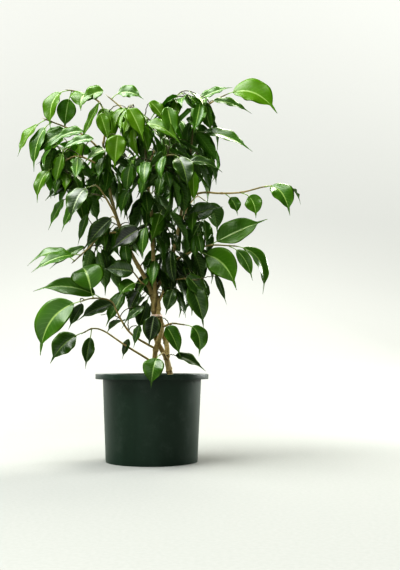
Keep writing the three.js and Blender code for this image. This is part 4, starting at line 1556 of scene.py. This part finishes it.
def leaves_along(limb, thicket, masses, skins, mass, growth, chance):
    """Leaves set by turns on the two sides of a twig, and one at its end."""
    leaves = []
    side = chance.choice((-1, 1))
    _, points, headings, _ = limb.sampled(BARK_STEP)
    place = limb.length * BARE_SHARE
    while place < limb.length - 5 * MM:
        k = min(int(place / BARK_STEP), len(points) - 1)
        leaves.append((points[k], headings[k], side))
        side = -side
        place += growth.leaf_spacing * chance.uniform(0.8, 1.2)
    leaves.append((points[-1], headings[-1], 0.25 * side))
    out = []
    for foot, heading, side in leaves:
        found = try_leaf(thicket, masses, skins, foot, heading, side, growth.leaf_length, chance)
        if found:
            kind, turn, size = found
            out.append((foot, kind, turn, size, age_and_shade_at(mass, foot, chance)))
    return out


# Stage -------------------------------------------------------------------------------------------------

# Lamps: place, what they point at, width in metres, watts and colour.
LAMPS = {
    "key_above_left": ((-0.6, -0.3, 1.8), (0, 0, 0.35), 1.5, 84, "#ffffff"),
    "fill_front": ((-0.25, -1.5, 0.55), (0, 0, 0.28), 1.0, 5.5, "#ffffff"),
    "back_above": ((0.3, 0.9, 1.7), (0, 0, 0.4), 0.8, 26, "#fffbf2"),
    "edge_right": ((1.1, 0.75, 0.5), (0, 0, 0.12), 0.5, 17, "#ffffff"),
    "edge_left": ((-1.1, 0.75, 0.5), (0, 0, 0.12), 0.5, 8, "#ffffff"),
}
BEND_STEPS = 24  # in the curve between floor and wall


def studio_paper():
    """Studio backdrop: matt paper, swept up behind the plant. Away from the plant it is lit through from
    behind, so that it stays as pale all round as it is in the middle."""
    material, tree = new_material("studio_paper_matt_white")
    if tree is None:
        return material
    fibres = add(tree, "ramp", specks(tree, 4 * MM, 3), 0.3, 0.7)
    colour = add(tree, "blend", fibres, linear("#80827e"), linear("#7d7f7b"))
    away = add(tree, "length", add(tree, "place"))
    near, far = add(tree, "ramp", away, 0.3, 2.0, 0.0, 0.41), add(tree, "ramp", away, 2.0, 4.2, 0.0, 0.32)
    glow = add(tree, "sum", near, far)
    add(tree, "material", add(tree, "paper", colour, 0.9, 0.15, linear("#f4f5f0"), glow))
    return material


def soft_room():
    """The room round the paper: pale to look at, and dim as a light, so that the lamps shape the leaves."""
    world = bpy.data.worlds.new("soft_room")
    world.use_nodes = True
    tree = world.node_tree
    tree.nodes.clear()
    dim, bright = (add(tree, "background", linear("#f4f5f0"), strength) for strength in (0.16, 0.74))
    add(tree, "world", add(tree, "mixed", add(tree, "light_path"), dim, bright))
    return world


def sweep_of_paper():
    """Floor and wall in one sheet, joined by a wide curve."""
    half, front, back, bend, high = 4.0, -3.0, 2.7, 2.1, 4.0
    profile = [(front, 0), (0, 0), (back - bend, 0)]
    for k in range(1, BEND_STEPS + 1):
        turn = math.pi / 2 * k / BEND_STEPS
        profile.append((back - bend + bend * math.sin(turn), bend - bend * math.cos(turn)))
    profile.append((back, high))
    verts = [(x, y, z) for y, z in profile for x in (-half, half)]
    faces = [(2 * k, 2 * k + 1, 2 * k + 3, 2 * k + 2) for k in range(len(profile) - 1)]
    return mesh_object("studio_sweep", verts, faces, studio_paper())


def area_light(name, place, target, size, watts, colour):
    """A round, soft lamp that the camera doesn't see."""
    lamp = bpy.data.lights.new(name, "AREA")
    lamp.shape, lamp.size, lamp.energy, lamp.color = "DISK", size, watts, linear(colour)
    made = linked(name, lamp)
    made.location = place
    made.rotation_mode = "QUATERNION"
    made.rotation_quaternion = (Vector(target) - Vector(place)).to_track_quat("-Z", "Y")
    made.visible_camera = False


class FIG_OT_stage(bpy.types.Operator):
    """Lays the pale floor and backdrop, and sets the camera and the soft light"""

    bl_idname = "fig.stage"
    bl_label = "Stage"

    def execute(self, context):
        scene = context.scene
        sweep_of_paper()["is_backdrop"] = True
        scene.world = soft_room()
        for name, lamp in LAMPS.items():
            area_light(name, *lamp)
        lens = bpy.data.cameras.new("camera")
        lens.sensor_width, lens.lens = 36, 51.44
        lens.clip_start = 0.05
        scene.camera = linked("camera", lens)
        scene.camera.location = (0.068, -1.165, 0.138)
        scene.camera.rotation_euler = (math.radians(90) + 0.095, 0, 0)  # looks slightly up
        scene.view_settings.view_transform = "Standard"
        scene.view_settings.look = "High Contrast"
        return {"FINISHED"}


# Panel and registration --------------------------------------------------------------------------------


class FIG_PT_panel(bpy.types.Panel):
    bl_idname = "FIG_PT_panel"
    bl_label = "Potted weeping fig"
    bl_space_type = "VIEW_3D"
    bl_region_type = "UI"
    bl_category = "Fig"

    def draw(self, context):
        for operator in OPERATORS:
            self.layout.operator(operator.bl_idname)


GROUPS = {"fig_pot": FigPot, "fig_leaves": FigLeaves, "fig_growth": FigGrowth, "fig_wood": FigWood}
OPERATORS = (
    FIG_OT_stage, FIG_OT_pot, FIG_OT_potting_mix, FIG_OT_stems, FIG_OT_tie, FIG_OT_branches, FIG_OT_leaves,
    FIG_OT_inner_leaves, FIG_OT_foliage,
)
CLASSES = (*GROUPS.values(), *OPERATORS, FIG_PT_panel)


def register():
    for cls in CLASSES:
        bpy.utils.register_class(cls)
    for name, group in GROUPS.items():
        setattr(bpy.types.Scene, name, PointerProperty(type=group))


def unregister():
    for name in GROUPS:
        delattr(bpy.types.Scene, name)
    for cls in reversed(CLASSES):
        bpy.utils.unregister_class(cls)


def main():
    register()
    for operator in OPERATORS:
        group, name = operator.bl_idname.split(".")
        getattr(getattr(bpy.ops, group), name)()
    boxes = {"frame": FRAME_BOX, "visual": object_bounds()}
    {key: [list(low), list(high)] for key, (low, high) in boxes.items()}


if __name__ == "__main__":
    main()
